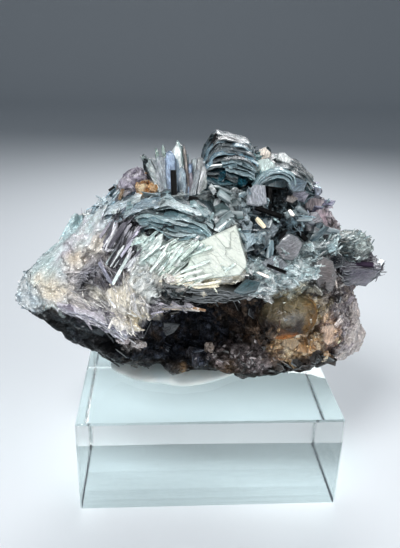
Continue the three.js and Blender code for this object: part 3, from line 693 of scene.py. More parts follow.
    "shoulder": ("blade", (23, 0, 94), (6, 6, 4), (0.85, -0.25, -0.4), 0.35, (0, 0.3), 0.9,
        "#344d56 #425d67 #506b73 #243c44 #59727a"),
    "lilacEdge": ("plate", (30, -1, 90), (3.4, 5, 4), (0.5, -0.3, -0.6), 0.5, (0, 0.5), 1,
        "#a9a6b9 #c6c3d2 #83819a #8fa1a9"),
    "pinkShoulder": ("crust", (31, -3, 83), (3.4, 6, 4), (0.5, -0.3, -0.5), 0.6, (0.1, 0.7), 1.1,
        "#b6aab1 #cfc2c5 #908492 #e2d3d1 #b8bcc2"),
    "tanLump": ("crust", (-16.5, -3, 91), (3.2, 3.6, 2), (0.6, -0.1, 0.6), 0.6, (0.1, 0.7), 1,
        "#b98a5b #cfa87a #94704e #dcc6a2 #bfb3aa"),
    "fanInside": ("bare", (-11, -1, 97), (7, 5, 5), (0.8, -0.2, 0), 0.4, (0, 0.2), 0.6,
        "#39484e #55666d #1c262b"),
    "fanFoot": ("glass", (-8, -8, 89), (7, 4, 1.6), (0.8, -0.2, 0), 0.4, (0, 0.2), 0.9,
        "#1c272b #2c3b40 #0f1518"),
    "backLeft": ("fibre", (-36, 12, 64), (11, 9, 12), (0.7, 0.3, 0.6), 0.4, (0, 0.3), 0.9,
        "#b9c9c9 #dbe4e4 #94a7ac #c9c3d0 #6f8086 #e2d6bd"),
    "backMiddle": ("plate", (-4, 27, 68), (14, 9, 13), (0.2, 0.3, 0.8), 0.8, (0, 0.6), 1.3,
        "#4b5c64 #71868e #9db1b5 #2b383e #c6d3d4 #8b8698"),
    "backRight": ("blade", (27, 17, 66), (12, 9, 13), (-0.3, 0.3, 0.8), 0.6, (0, 0.5), 1.2,
        "#8f8894 #b3a6ad #6c737b #c9d2d3 #55656b #cbb59a"),
    "backTop": ("blade", (0, 12, 90), (14, 6, 6), (0.8, 0.3, 0.3), 0.45, (0, 0.4), 1.1,
        "#7c9698 #a9bebf #cfdcdb #47616a #9a94a6 #22343a"),
    # painted shade: near-black tints for the underside at the back, darkened like the underside in front
    "backLow": ("plate", (0, 20, 45), (26, 9, 7), (0.9, 0.2, 0.1), 0.5, (0, 0.4), 1.1,
        "#15191d #262c31 #3b3f44 #52473f #6f6a70"),
}
patchHabit, *patchNumbers, patchCodes = zip(*patches.values())
patchNumbers = [np.array(rows, float) for rows in patchNumbers]
patchAt, patchReach, patchFlow, patchStray, patchRise, patchRough = patchNumbers
patchTints = [paints(codes) for codes in patchCodes]
wander = {"slow": (1.7, 6, 1), "quick": (1.8, 2, 4)}  # reach, size and seed
flowTurn = (1.3, 7, 21)
stainEdge = {"wander": (1.2, 3, 31), "most": 0.8}

# Iron-stained and creamy spots: where, how wide, colour.
stains = [
    ((-37.5, -14.5, 66), 2.0, "#dcd5cd"), ((-38.5, -13.5, 69.5), 1.8, "#cfccd0"),
    ((-35.5, -15.5, 62.5), 1.8, "#dcd5d0"), ((-40, -9, 75), 2.2, "#d6ccd6"),
    ((-45, -4, 69), 2.2, "#bdd2d3"), ((-36, -9, 79), 1.8, "#ece6e8"), ((-47, -8, 71), 1.6, "#b7cdce"),
    ((-31, -14, 79), 2.2, "#e3d8c8"), ((-37, -13.5, 74), 2.2, "#e6d5bf"),
    ((-43, -12, 64.5), 2.6, "#e7d6bf"), ((-33, -12, 82), 2.0, "#e6dfe6"), ((-47, -9, 66), 2.0, "#eadcc6"),
    ((-31, -18.3, 65.5), 1.6, "#e2dccb"), ((-40, -14, 64.5), 1.6, "#e3d5bf"),
    ((-45, -11, 63.5), 1.8, "#e4d8c0"), ((-25, -22, 65.7), 1.4, "#e1d4b9"),
    ((-19.5, -21, 60), 1.6, "#e2d0ab"), ((-3, -28, 73.3), 1.8, "#e0d0a9"), ((-10, -28, 75), 1.8, "#ddcec4"),
    ((27, -16, 49), 1.6, "#ddac6a"), ((22, -17, 51), 1.4, "#dfb67b"), ((-8, -12, 40), 1.0, "#b99466"),
    ((5, -13, 40), 1.6, "#987c60"), ((-15.6, -4, 90), 1.4, "#d19a5e"), ((12, -12, 52), 1.6, "#80684e"),
    ((18, -16, 45), 1.4, "#a28870"),
]

# How the rock is broken in each habit: height of its blocks, height, width and stretch of its
# facets, depth of its crevices, and a painted shade on the rock beside its crystals (under 1 darker, over 1
# lighter).
reliefs = {
    "sugar": (0.5, 0.5, 1.9, 0.6, 0.1, 1.0), "fibre": (0.6, 0.9, 1.6, 0.86, 0.2, 0.95),
    "spray": (0.6, 1.0, 1.4, 0.88, 0.3, 0.85), "blade": (0.8, 1.0, 1.9, 0.78, 0.25, 0.9),
    "plate": (1.5, 1.2, 2.8, 0.25, 0.6, 0.75), "sheet": (0.3, 1.1, 1.7, 0.9, 0.3, 0.6),
    "crust": (1.0, 0.8, 1.9, 0.1, 0.4, 0.95), "froth": (0.8, 0.8, 1.4, 0.5, 0.2, 0.95),
    "dark": (1.6, 1.3, 3.2, 0.45, 0.3, 0.9), "glass": (1.0, 1.0, 4.4, 0.1, 0.2, 0.9),
    "chunk": (1.5, 1.2, 2.6, 0.2, 0.6, 0.5), "bare": (0.3, 0.5, 2.0, 0.2, 0.1, 0.6),
    "smooth": (0.6, 0.42, 2.1, 0.5, 0.05, 1.06), "soft": (0.5, 0.7, 1.8, 0.8, 0.06, 1.0),
}


def patchOf(points):
    # the patch whose bell curve is highest at each point, after the point has wandered a little
    moved = points + wandering(points, *wander["slow"]) + wandering(points, *wander["quick"])
    best, chosen = np.full(len(points), 1e9), np.zeros(len(points), int)
    for index, (at, reach) in enumerate(zip(patchAt, patchReach)):
        away = (((moved - at) / reach) ** 2).sum(1)
        chosen = np.where(away < best, index, chosen)
        best = np.minimum(best, away)
    return chosen


def flowAt(points, out, patch):
    # the way crystals lie: the patch's flow, turned by slow noise as far as the patch strays,
    # and laid along the surface
    flow = patchFlow[patch] + wandering(points, *flowTurn) * patchStray[patch, None]
    return unit(flow - (flow * out).sum(1, keepdims=True) * out)


def stained(points, tints):
    # tints pulled towards each stain's colour by a bell curve, with a wandering edge
    wandered = points + wandering(points, *stainEdge["wander"])
    for place, wide, colour in stains:
        away = np.linalg.norm(wandered - place, axis=1) / wide
        share = stainEdge["most"] * np.exp(-0.5 * away ** 2)[:, None]
        tints = tints * (1 - share) + paint(colour) * share
    return tints


def pickTints(patch, numbers):
    # a colour of the patch for each number from 0 to 1
    counts = np.array([len(tints) for tints in patchTints])
    table = np.zeros((len(patchTints), counts.max(), 3))
    for index, tints in enumerate(patchTints):
        table[index, :len(tints)] = tints
    return table[patch, np.minimum((numbers * counts[patch]).astype(int), counts[patch] - 1)]


rockLook = {
    # how many to a millimetre
    "facet": 1.4, "fineFacet": 3.4, "streak": 2.6, "vein": 1.5, "crack": 1.1,
    "rough": 0.2, "index": 1.46, "glow": 0.2, "glowDepth": 0.0009, "bump": 0.0007,
}
evenly = (1.0, 1.0, 1.0)


def rockFinish():
    # tint * shade, with shade = facets' numbers * streaks, raised along veins and lowered along
    # cracks, both less in pale tints; a few painted glints; bump from the facets' slopes
    finish = Finish("specimen rock")
    tint = finish.attribute("tint")
    grain = finish.attribute("grain", "Vector")
    slope, number = finish.facets(grain, rockLook["facet"])
    fineSlope, fineNumber = finish.facets(grain, rockLook["fineFacet"])
    streak = finish.noise(grain, rockLook["streak"], 4, 0.7)
    pale = finish.veins(grain, rockLook["vein"], 22) * (0.35 + fineNumber)
    crack = finish.veins(finish.turned(grain, evenly, shift=(9, 4, 2)), rockLook["crack"], 16)
    shade = (0.8 + 0.5 * number) * (0.8 + 0.5 * fineNumber) * (0.65 + 0.9 * streak)
    level = finish.node("ShaderNodeRGBToBW", 0, {}, {"Color": tint}).clamped()
    shade = shade * (1.0 + (1.0 - 0.8 * level) * pale) * (1.0 - (0.7 - 0.6 * level) * crack)
    shade = shade + (1.14 - shade) * level * 0.65
    # painted glints: a few small facets of paler tints made up to 2.4 times brighter
    paintedGlint = ((fineNumber - 0.9) * 20).clamped() * ((streak - 0.5) * 12).clamped() * (level * 2).clamped()
    lit = finish.shaded(tint, shade * (1.0 + 1.4 * paintedGlint))
    height = slope * 0.75 + fineSlope * 0.3 + number * 0.25 + streak * 0.2 + pale * 0.12 - crack * 0.2
    height = height * (1.1 - 0.5 * level)
    roughness = (rockLook["rough"] + 0.5 * level) * (1.15 - fineNumber)
    return finish.shine(
        Base_Color=lit, Roughness=roughness, IOR=rockLook["index"],
        Coat_Weight=(level * 0.8).clamped(), Coat_Roughness=0.1,
        Subsurface_Weight=rockLook["glow"], Subsurface_Radius=evenly, Subsurface_Scale=rockLook["glowDepth"],
        Normal=finish.bumped(height, 1.0, rockLook["bump"]))


bariteIndex = 1.64
# painted highlight laid along crystal edges
paintedEdgeHighlight = (0.78, 0.86, 0.88)
# painted shade laid along the clear blades' edges
paintedEdgeShade = (0.2, 0.22, 0.25)


def crystalFinish(name="bladed crystal", clear=0.15, rough=0.3, paintedEdgeShare=0.25, paintedEdgeColour=paintedEdgeHighlight, comb=1.0):
    # tint * (0.72 + 0.95 streak), raised along veins and lowered along cracks, all combed lengthways;
    # pulled at the edges towards the edge colour: a painted highlight where it is pale, painted shade where
    # it is dark
    finish = Finish(name)
    rim = finish.attribute("rim", "Fac")
    grain = finish.attribute("grain", "Vector")
    combed = finish.turned(grain, (3.0 * comb, 0.5 * comb, 1.0))
    slanted = finish.turned(grain, (1.6 * comb, 0.7 * comb, 1.0), (0, 0, 0.9))
    streak = finish.noise(combed, 1.0, 4, 0.65)
    pale = finish.veins(combed, 0.9, 18)
    crack = finish.veins(slanted, 1.0, 16)
    shade = (0.72 + 0.95 * streak) * (1.0 + 0.8 * pale) * (1.0 - 0.5 * comb * crack)
    streaked = finish.shaded(finish.attribute("tint"), shade)
    return finish.shine(
        Base_Color=finish.mixed(rim * paintedEdgeShare, streaked, paintedEdgeColour), Roughness=rough - 0.8 * rough * streak,
        IOR=bariteIndex, Transmission_Weight=clear, Coat_Weight=0.12, Coat_Roughness=0.05,
        Normal=finish.bumped(streak + pale * 0.4 - crack * 0.4, 0.5, 0.0003))


rock = {
    "voxel": 0.585, "sunk": 0.25,
    "bent": (1.4, 7, 11),  # reach, size and seed of the bend in the rows of facets
    "apart": 3.7,  # between one patch's facets and the next one's
    "blocks": (5, 14),  # size and seed
    "facets": (1.0, 6), "tilt": 0.9,
    "fineFacets": (0.45, 7), "fineTilt": 1.5, "fineShare": 0.4,
    "crevice": 0.35,  # half its width
    "calm": (32, 7),  # no relief below this height, all of it this much higher
    "foot": 30.35,
    "fan": {"middle": (-10.4, -1, 97), "half": (7, 9, 9), "floor": 88, "left": 0.04},  # blades stand here
    "strewn": (3.0, 1.1, 15),  # how colours of one patch are strewn into the next
    # painted shade of the rock: darker in crevices and on low facets, lighter on raised ones
    "shade": {"open": 0.92, "perMm": 0.3, "crevice": 0.5, "least": 0.3, "most": 1.2},
}


def evenSkin(source):
    # a copy of a mesh, made of even small faces, with its corners and their normals in millimetres
    mesh = source.data.copy()
    changeMesh(mesh, lambda shell: bmesh.ops.remove_doubles(shell, verts=shell.verts, dist=1e-6))
    coarse = newObject("coarse", mesh)
    remesh = coarse.modifiers.new("even", "REMESH")
    remesh.mode = "VOXEL"
    remesh.voxel_size = rock["voxel"] * mm
    skin = bpy.data.meshes.new_from_object(coarse.evaluated_get(bpy.context.evaluated_depsgraph_get()))
    bpy.data.objects.remove(coarse)
    places, normals = np.empty((2, len(skin.vertices) * 3))
    skin.vertices.foreach_get("co", places)
    skin.vertices.foreach_get("normal", normals)
    return skin, places.reshape(-1, 3) / mm, normals.reshape(-1, 3)


def rockSkin():
    # the cluster's corners moved along their normals by blocks + facets + fine facets - crevices.
    # A facet's height is its own number plus its own tilt times the way from its centre; facets are
    # drawn out along the patch's flow, and a crevice is a bell curve where two large facets meet
    skin, places, normals = evenSkin(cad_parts["barite_cluster"])
    patch = patchOf(places)
    relief = np.array([reliefs[habit] for habit in patchHabit])[patch]
    blockHeight, facetHeight, width, stretch, creviceDepth, beside = relief.T
    flow = unit(patchFlow[patch] + 1e-6)
    warped = places + wandering(places, *rock["bent"])
    squeezed = warped - stretch[:, None] * (warped * flow).sum(1, keepdims=True) * flow
    squeezed += patch[:, None] * rock["apart"]
    inFacets = squeezed / width[:, None]
    block = blockHeight * softNoise(places, *rock["blocks"])
    numbers, ways, margin = nearestCentres(inFacets, *rock["facets"], 5)
    tilt = ((numbers[:, 1:4] - 0.5) * ways).sum(1)
    facet = facetHeight * (numbers[:, 0] - 0.5 + rock["tilt"] * tilt)
    fineNumbers, fineWays, _ = nearestCentres(inFacets, *rock["fineFacets"], 5)
    fineTilt = ((fineNumbers[:, 1:4] - 0.5) * fineWays).sum(1)
    fine = rock["fineShare"] * facetHeight * (fineNumbers[:, 0] - 0.5 + rock["fineTilt"] * fineTilt)
    crevice = creviceDepth * np.exp(-(margin * width / rock["crevice"]) ** 2)
    lift = (block + facet + fine - crevice) * patchRough[patch]
    calm = np.clip((places[:, 2] - rock["calm"][0]) / rock["calm"][1], 0, 1)
    moved = places + normals * (lift * calm - rock["sunk"])[:, None]
    moved[:, 2] = np.maximum(moved[:, 2], rock["foot"])
    fanPlace = rock["fan"]
    inFan = (np.abs(places - fanPlace["middle"]) < fanPlace["half"]).all(1)
    moved[inFan, 2] = fanPlace["floor"] + (moved[inFan, 2] - fanPlace["floor"]) * fanPlace["left"]
    skin.vertices.foreach_set("co", (moved * mm).ravel())

    strewn = patchOf(places + wandering(places, *rock["strewn"]))
    mixed = 0.5 * pickTints(patch, numbers[:, 4]) + 0.5 * pickTints(strewn, fineNumbers[:, 4])
    look = rock["shade"]
    # painted shade: darker in crevices and on low facets, lighter on raised ones, times the habit's painted
    # shade beside crystals
    shade = look["open"] + look["perMm"] * (facet + fine) - look["crevice"] * crevice
    shade = np.clip(shade, look["least"], look["most"]) * beside
    addAttribute(skin, "tint", stained(places, mixed * shade[:, None]))
    addAttribute(skin, "grain", squeezed)
    skin.materials.clear()
    skin.materials.append(rockMaterial)
    skin.polygons.foreach_set("use_smooth", np.zeros(len(skin.polygons), bool))
    piece = newObject("cluster_rock", skin)
    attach(piece, "root")
    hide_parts("barite_cluster")
    print("rock skin:", len(skin.polygons), "faces")
    return {"spot": moved, "out": normals, "patch": patch, "along": flowAt(places, normals, patch),
            "number": numbers[:, 4]}


sowing = {
    "jitter": 0.08, "standJitter": 0.35, "grainJitter": 0.6, "faceJitter": 0.3,
    "buried": 0.5, "standing": 0.25,  # share of the length behind the root, lying and standing
    "sunk": 0.25,  # share of the thickness
    "ownNumber": 0.5, "tone": (0.75, 1.25), "glints": 0.08, "glint": 1.9, "bend": 0.03,
}


def sowCrystals(ground, random):
    # at each kind's own density, crystals lie along their sheaf, half sunk, or stand out by the
    # patch's rise: along = sheaf * cos(stand) + out * sin(stand)
    batches = {kind: {} for kind in ("lath", "needle", "plate", "grain", "chunk", "prism")}
    cell = rock["voxel"] ** 2
    for name, habit in habits.items():
        inHabit = np.array([each == name for each in patchHabit])[ground["patch"]]
        for kind, (density, lengths, widths, thicks) in habit.items():
            chosen = np.flatnonzero(inHabit & (random.random(len(inHabit)) < density * cell))
            count = len(chosen)
            if count == 0:
                continue
            patch, out, spot = ground["patch"][chosen], ground["out"][chosen], ground["spot"][chosen]
            rise = patchRise[patch]
            stand = (rise[:, :1] + (rise[:, 1:] - rise[:, :1]) * random.random((count, 1)) ** 2) * np.pi / 2
            jitter = sowing["jitter"] + sowing["standJitter"] * np.sin(stand)
            if kind == "grain":
                jitter = jitter + sowing["grainJitter"]
            lie = ground["along"][chosen] + random.normal(0, 1, (count, 3)) * jitter
            lie = unit(lie - (lie * out).sum(1, keepdims=True) * out)
            along = lie * np.cos(stand) + out * np.sin(stand)
            facing = unit(out + random.normal(0, 1, (count, 3)) * (sowing["faceJitter"] + jitter))
            across = unit(np.cross(facing, along))
            length, width, thick = (random.uniform(*span, count) for span in (lengths, widths, thicks))
            wild = random.random(count)
            own = random.random(count) < sowing["ownNumber"]
            tint = pickTints(patch, np.where(own, ground["number"][chosen], wild))
            tint = tint * random.uniform(*sowing["tone"], (count, 1))
            tint = tint * np.where(random.random((count, 1)) < sowing["glints"], sowing["glint"], 1)
            behind = length * (sowing["buried"] - sowing["standing"] * np.sin(stand[:, 0]))
            sown = {
                "root": spot - along * behind[:, None] - out * (thick * sowing["sunk"])[:, None],
                "along": along, "across": across, "face": np.cross(along, across), "spot": spot, "out": out,
                "length": length, "width": width, "thick": thick,
                "bend": random.normal(0, sowing["bend"], count) * length,
                "tint": np.clip(stained(spot, tint), 0, 1),
            }
            for key, values in sown.items():
                batches[kind].setdefault(key, []).append(values)
    return {kind: joined(lists) for kind, lists in batches.items() if lists}


# Places that the sown crystals leave open: middle, radius.
openings = {
    "eye": ((15.8, -9.5, 91.2), 4.7), "roundPlate": ((18.7, -19.2, 79.2), 4.5),
    # goldBar and whiteBar keep room for the bars of painted highlights
    "goldBar": ((10.5, -19.6, 86), 1.9),
    "whiteBar": ((19.4, -13.5, 86.6), 1.3), "teal": ((1.5, -10.5, 94.6), 3.4),
}


# How far crystals may go: lowest end and root, past the CAD box downwards and upwards, and where
# along each crystal the openings are looked for.
limits = {"end": 36.5, "spot": 38.5, "under": 2, "over": (1.5, 1.5, -3), "shares": (0.1, 0.5, 1.0)}


def insideCad(batch):
    # keeps only the crystals whose ends stay in the CAD box, clear of the block and of the openings
    low, high = np.array(cadBox) / mm
    way = batch["along"] * batch["length"][:, None]
    kept = batch["spot"][:, 2] > limits["spot"]
    for end in (batch["root"], batch["root"] + way):
        kept &= end[:, 2] > limits["end"]
        kept &= (end > low - limits["under"]).all(1) & (end < high + limits["over"]).all(1)
    for middle, radius in openings.values():
        for share in limits["shares"]:
            kept &= np.linalg.norm(batch["root"] + way * share - middle, axis=1) > radius
    return {key: values[kept] for key, values in batch.items()}


def crystals(ground):
    # one piece of each kind sown, chunks and prisms glassier than the rest
    random = np.random.default_rng(43)
    bladed = crystalFinish()
    glassy = crystalFinish("glassy chunk", 0.4, 0.14, 0.8, comb=0.3)
    for kind, batch in sowCrystals(ground, random).items():
        finish = glassy if kind in ("chunk", "prism") else bladed
        grownPiece(f"crystal_{kind}s", kind, insideCad(batch), random, 0.045, finish)


def barBatch(rows, facing):
    # single crystals from end to end, rows of (from, to, width, thickness, tint):
    # along = (to - from) / length, across = facing x along
    start, end, width, thick = (np.array([row[i] for row in rows], float) for i in range(4))
    length = np.linalg.norm(end - start, axis=-1)
    along = (end - start) / length[:, None]
    across = unit(np.cross(np.broadcast_to(np.array(facing, float), along.shape), along))
    face = np.cross(along, across)
    return {"root": start, "along": along, "across": across, "face": face, "spot": start, "out": face,
            "length": length, "width": width, "thick": thick, "bend": np.zeros(len(rows)),
            "tint": np.array([paint(row[4]) for row in rows])}


# Single laths and prisms: from, to, width, thickness, tint.
bars = {
    "paleA": ((-26.1, -22.2, 70.5), (-21.7, -21.2, 78.4), 1, 0.5, "#d3e0dd"),
    "paleB": ((-28.6, -18.3, 73.2), (-25.2, -18, 78), 0.9, 0.5, "#c9d6d8"),
    "paleC": ((-23.9, -21.4, 77.6), (-19.6, -20.8, 83.9), 0.8, 0.5, "#cdc8da"),
    "edgeD": ((-29.8, -18.3, 74.8), (-26.4, -21.4, 70.1), 1.1, 0.7, "#8f8f9f"),
    "darkE": ((-23.8, -20.9, 75.3), (-20.8, -20.4, 79.9), 1.6, 0.8, "#33323d"),
    "darkF": ((-26.9, -19.1, 74.6), (-23.4, -17.1, 79.8), 1.8, 0.8, "#26252f"),
    "prismA": ((-28.6, -15.2, 78.8), (-25, -14.3, 84.4), 1.4, 0.9, "#85838c"),
    "prismB": ((-27.2, -17.6, 78.3), (-22.8, -16.7, 84.9), 1.7, 1.2, "#55525c"),
    "prismC": ((-26, -17.4, 77.7), (-21.6, -16.9, 84.5), 1.1, 0.8, "#b0aeb7"),
    "prismD": ((-24.1, -19, 78.6), (-20.3, -17.5, 83.9), 1.5, 1, "#323137"),
    "prismE": ((-22.5, -19.8, 80.2), (-18.6, -18.2, 84.4), 1.6, 1.1, "#7d7986"),
    "prismF": ((-29.7, -14.3, 79.9), (-26.8, -13.6, 83.9), 1, 0.7, "#9f9ba6"),
    "mintA": ((-9.4, -28.6, 79.7), (-5.1, -26.3, 83.2), 1.1, 0.7, "#bccdc4"),
    "mintB": ((-12.4, -28.8, 77.5), (-8.7, -27.8, 82.4), 0.8, 0.5, "#c8dbd3"),
    "mintC": ((-16.7, -29.5, 76.7), (-12.9, -26.5, 80.7), 0.8, 0.5, "#dce8e2"),
    "mintD": ((-7.6, -27.2, 76.8), (-3.3, -26.7, 80.3), 0.8, 0.5, "#d3e1d9"),
    "mintE": ((-19.2, -24.4, 77.3), (-14.3, -24.2, 81.6), 0.7, 0.4, "#d5e2de"),
    "overA": ((-9.5, -28.4, 76.2), (-2.6, -28.4, 79.2), 1, 0.6, "#cfdcd5"),
    "overB": ((-8.2, -29.2, 74.4), (-1.8, -29.4, 76.2), 0.9, 0.6, "#dde4dc"),
    "overC": ((-7.4, -27.2, 79.9), (-1.9, -27.1, 82.4), 0.8, 0.5, "#bdd0c8"),
    "overD": ((-10.5, -28.4, 74.8), (-4, -29.5, 77.3), 0.9, 0.5, "#e2e7df"),
    "overE": ((-6.4, -29.2, 72.9), (0.2, -29.5, 74.3), 0.8, 0.5, "#dedac6"),
    "fanTall": ((-9.5, -7.4, 91.5), (-10, -2.6, 101.6), 2.6, 1.4, "#cdd4d4"),
    # painted highlights: goldBar, whiteBar and lowBar are near-white bars standing for bright glints
    "goldBar": ((9.5, -19, 86.9), (11.6, -20.4, 84.9), 1.4, 0.9, "#efe0bf"),
    "whiteBar": ((18.9, -13, 87.3), (20, -14, 85.9), 1.2, 0.7, "#fbf6ee"),
    "lowBar": ((10, -23.3, 74.1), (12.8, -24.5, 73.2), 0.9, 0.6, "#f6eae2"),
    "tealEdge": ((-2.1, -7.4, 97.2), (1.6, -7.3, 97.6), 0.7, 0.5, "#eef6f5"),
    "tipF": ((-25.1, -7.1, 87.9), (-24, -5.2, 90.3), 1.3, 0.8, "#806a50"),
    "jawTip": ((47.9, -3.2, 66.4), (50, -1.7, 69.3), 2, 1.4, "#dfe4e8"),
    "wallEdge": ((31.4, -15.5, 72.7), (32.5, -17.9, 67.3), 0.5, 0.5, "#cfc3ba"),
    "sheafA": ((-12.6, -26.3, 67.9), (-6.5, -26.8, 66.6), 1.2, 0.6, "#b9b3bb"),
    "sheafB": ((-11.9, -26.5, 67), (-4.4, -26, 65), 1.3, 0.7, "#cbbfb4"),
    "sheafC": ((-12.5, -25.5, 66), (-6, -25.4, 64.8), 1.1, 0.6, "#9a949c"),
    "sheafTip": ((-6.2, -26.2, 65.7), (-2.9, -25.7, 64.7), 0.8, 0.5, "#a87e52"),
}

# Bundles of thin laths: two ends of the line their feet stand on, two of the line their tips
# reach, how many, how wide, and their tints.
bundles = {
    "mintMiddle": ([(-16.7, -26.6, 76.7), (-10.7, -28.5, 73.4)], [(-11.4, -24.6, 82.6), (-3.6, -25.6, 80.3)],
        62, (0.25, 0.6), "#dbe3da #e6efec #c6d3ca #eef2ef #b3c5bb"),
    "mintLow": ([(-12.5, -28.6, 73.8), (-6.5, -29.2, 72.8)], [(-4.4, -27, 79.6), (-2.2, -28.8, 74.9)],
        30, (0.25, 0.6), "#dfe8e3 #eef1ec #d0d8cd #e9e4d6 #c2cec2"),
    "mintHigh": ([(-14.8, -24.6, 80.6), (-9.6, -26.5, 79.8)], [(-10, -23.4, 83.6), (-4, -24.6, 82.6)],
        30, (0.25, 0.55), "#c9d7cf #dfe5df #adbfb8 #e8efed"),
    "lilac": ([(-28.9, -16.6, 77.8), (-22.2, -20.8, 77.4)], [(-26, -14.2, 84.2), (-18.9, -19.6, 84.4)],
        36, (0.3, 0.8), "#93919b #bcbbc3 #5b5a62 #e9e8ec #323137 #cfced6"),
    "underLilac": ([(-27.5, -18.4, 74.4), (-21.2, -22.4, 74.6)], [(-23.6, -19.8, 79.9), (-17.6, -23.6, 79.6)],
        20, (0.3, 0.8), "#a2a0a9 #cccbd0 #6b6972 #e3e6e7 #403e46"),
    "sheaf": ([(-15, -26.6, 68.4), (-13.2, -25.6, 65)], [(-6.4, -26.4, 66.4), (-4, -25.8, 64.8)],
        18, (0.3, 0.7), "#b3adb5 #cfc8c8 #8f8992 #c9b8a4 #6d6870"),
    "goldEdge": ([(-14.3, -28, 73.6), (-4.8, -29.5, 72.8)], [(-8.4, -28.8, 74.6), (0.6, -29.4, 73.2)],
        16, (0.3, 0.8), "#e6dfc9 #efeadb #d6ccb2 #e0e0d8"),
}


strand = {"feet": 0.35, "fan": 0.12, "tips": 0.3, "length": (0.6, 1.05), "thick": (0.25, 0.55)}


def bundleRows(random):
    # each lath starts at a share of the line of feet and ends near the same share of the tips
    rows = []
    for feet, tips, count, widths, codes in bundles.values():
        (first, last), (near, far) = np.array(feet), np.array(tips)
        for share in random.random(count):
            foot = first + (last - first) * share + random.normal(0, strand["feet"], 3)
            tipShare = np.clip(share + random.normal(0, strand["fan"]), 0, 1)
            tip = near + (far - near) * tipShare + random.normal(0, strand["tips"], 3)
            tip = foot + (tip - foot) * random.uniform(*strand["length"])
            width, thick = random.uniform(*widths), random.uniform(*strand["thick"])
            rows.append((foot, tip, width, thick, random.choice(codes.split())))
    return rows


# Black striated rods and dark edges: from, to, width, thickness, tint.
rods = {
    "fanRod": ((-10.6, -12.6, 88.2), (-11, -10.9, 96.8), 1.6, 1.2, "#060606"),
    "standing": ((13.5, -14, 87.4), (13.9, -10.4, 92.2), 1.5, 1.2, "#060606"),
    "lying": ((9.7, -15.8, 88.7), (16.2, -17.6, 86.9), 1.4, 1, "#070708"),
    "low": ((12.1, -24.1, 76.4), (16.7, -25.4, 74.9), 0.9, 0.8, "#0b0a0c"),
    "fanGap": ((-7, -12.2, 90), (-2.6, -12.6, 89.3), 1.5, 1, "#0a0c0e"),
    "crestTip": ((-28.7, 4.5, 87.3), (-27.1, 4.8, 88.4), 0.7, 0.6, "#0a0a0a"),
    "whiteEdge": ((3.5, -18.3, 86.7), (6.9, -24.9, 78.2), 0.6, 0.5, "#2a1c18"),
    "slot": ((21.7, -13.4, 81.4), (24.1, -14, 79.4), 1.5, 0.8, "#0a0a0c"),
    "faceLine": ((16.6, -15.1, 81.7), (21.5, -13.9, 83), 0.7, 0.5, "#101014"),
    "jawLine": ((38.7, -4.2, 69.3), (46.4, -4.9, 68.7), 1.5, 1, "#54425c"),
    "curveA": ((15.9, -18, 81.1), (17.7, -18, 83.5), 0.8, 0.5, "#0d0e12"),
    "curveB": ((18.3, -15.6, 82.7), (21.8, -15.6, 84.1), 0.8, 0.5, "#0d0e12"),
    "curveC": ((19.2, -16.1, 82.3), (22.4, -16.1, 82.1), 1, 0.5, "#0d0e12"),
    "edgeLine": ((27.2, -11.9, 83.7), (32.1, -11.9, 80.1), 0.8, 0.5, "#1a1216"),
    "frameTop": ((13, -9.6, 92.4), (18, -9.6, 91.9), 0.6, 0.5, "#08080a"),
    "peakEdge": ((-2.9, -2.9, 97.6), (0.7, 1.2, 104), 0.8, 0.6, "#10161b"),
}

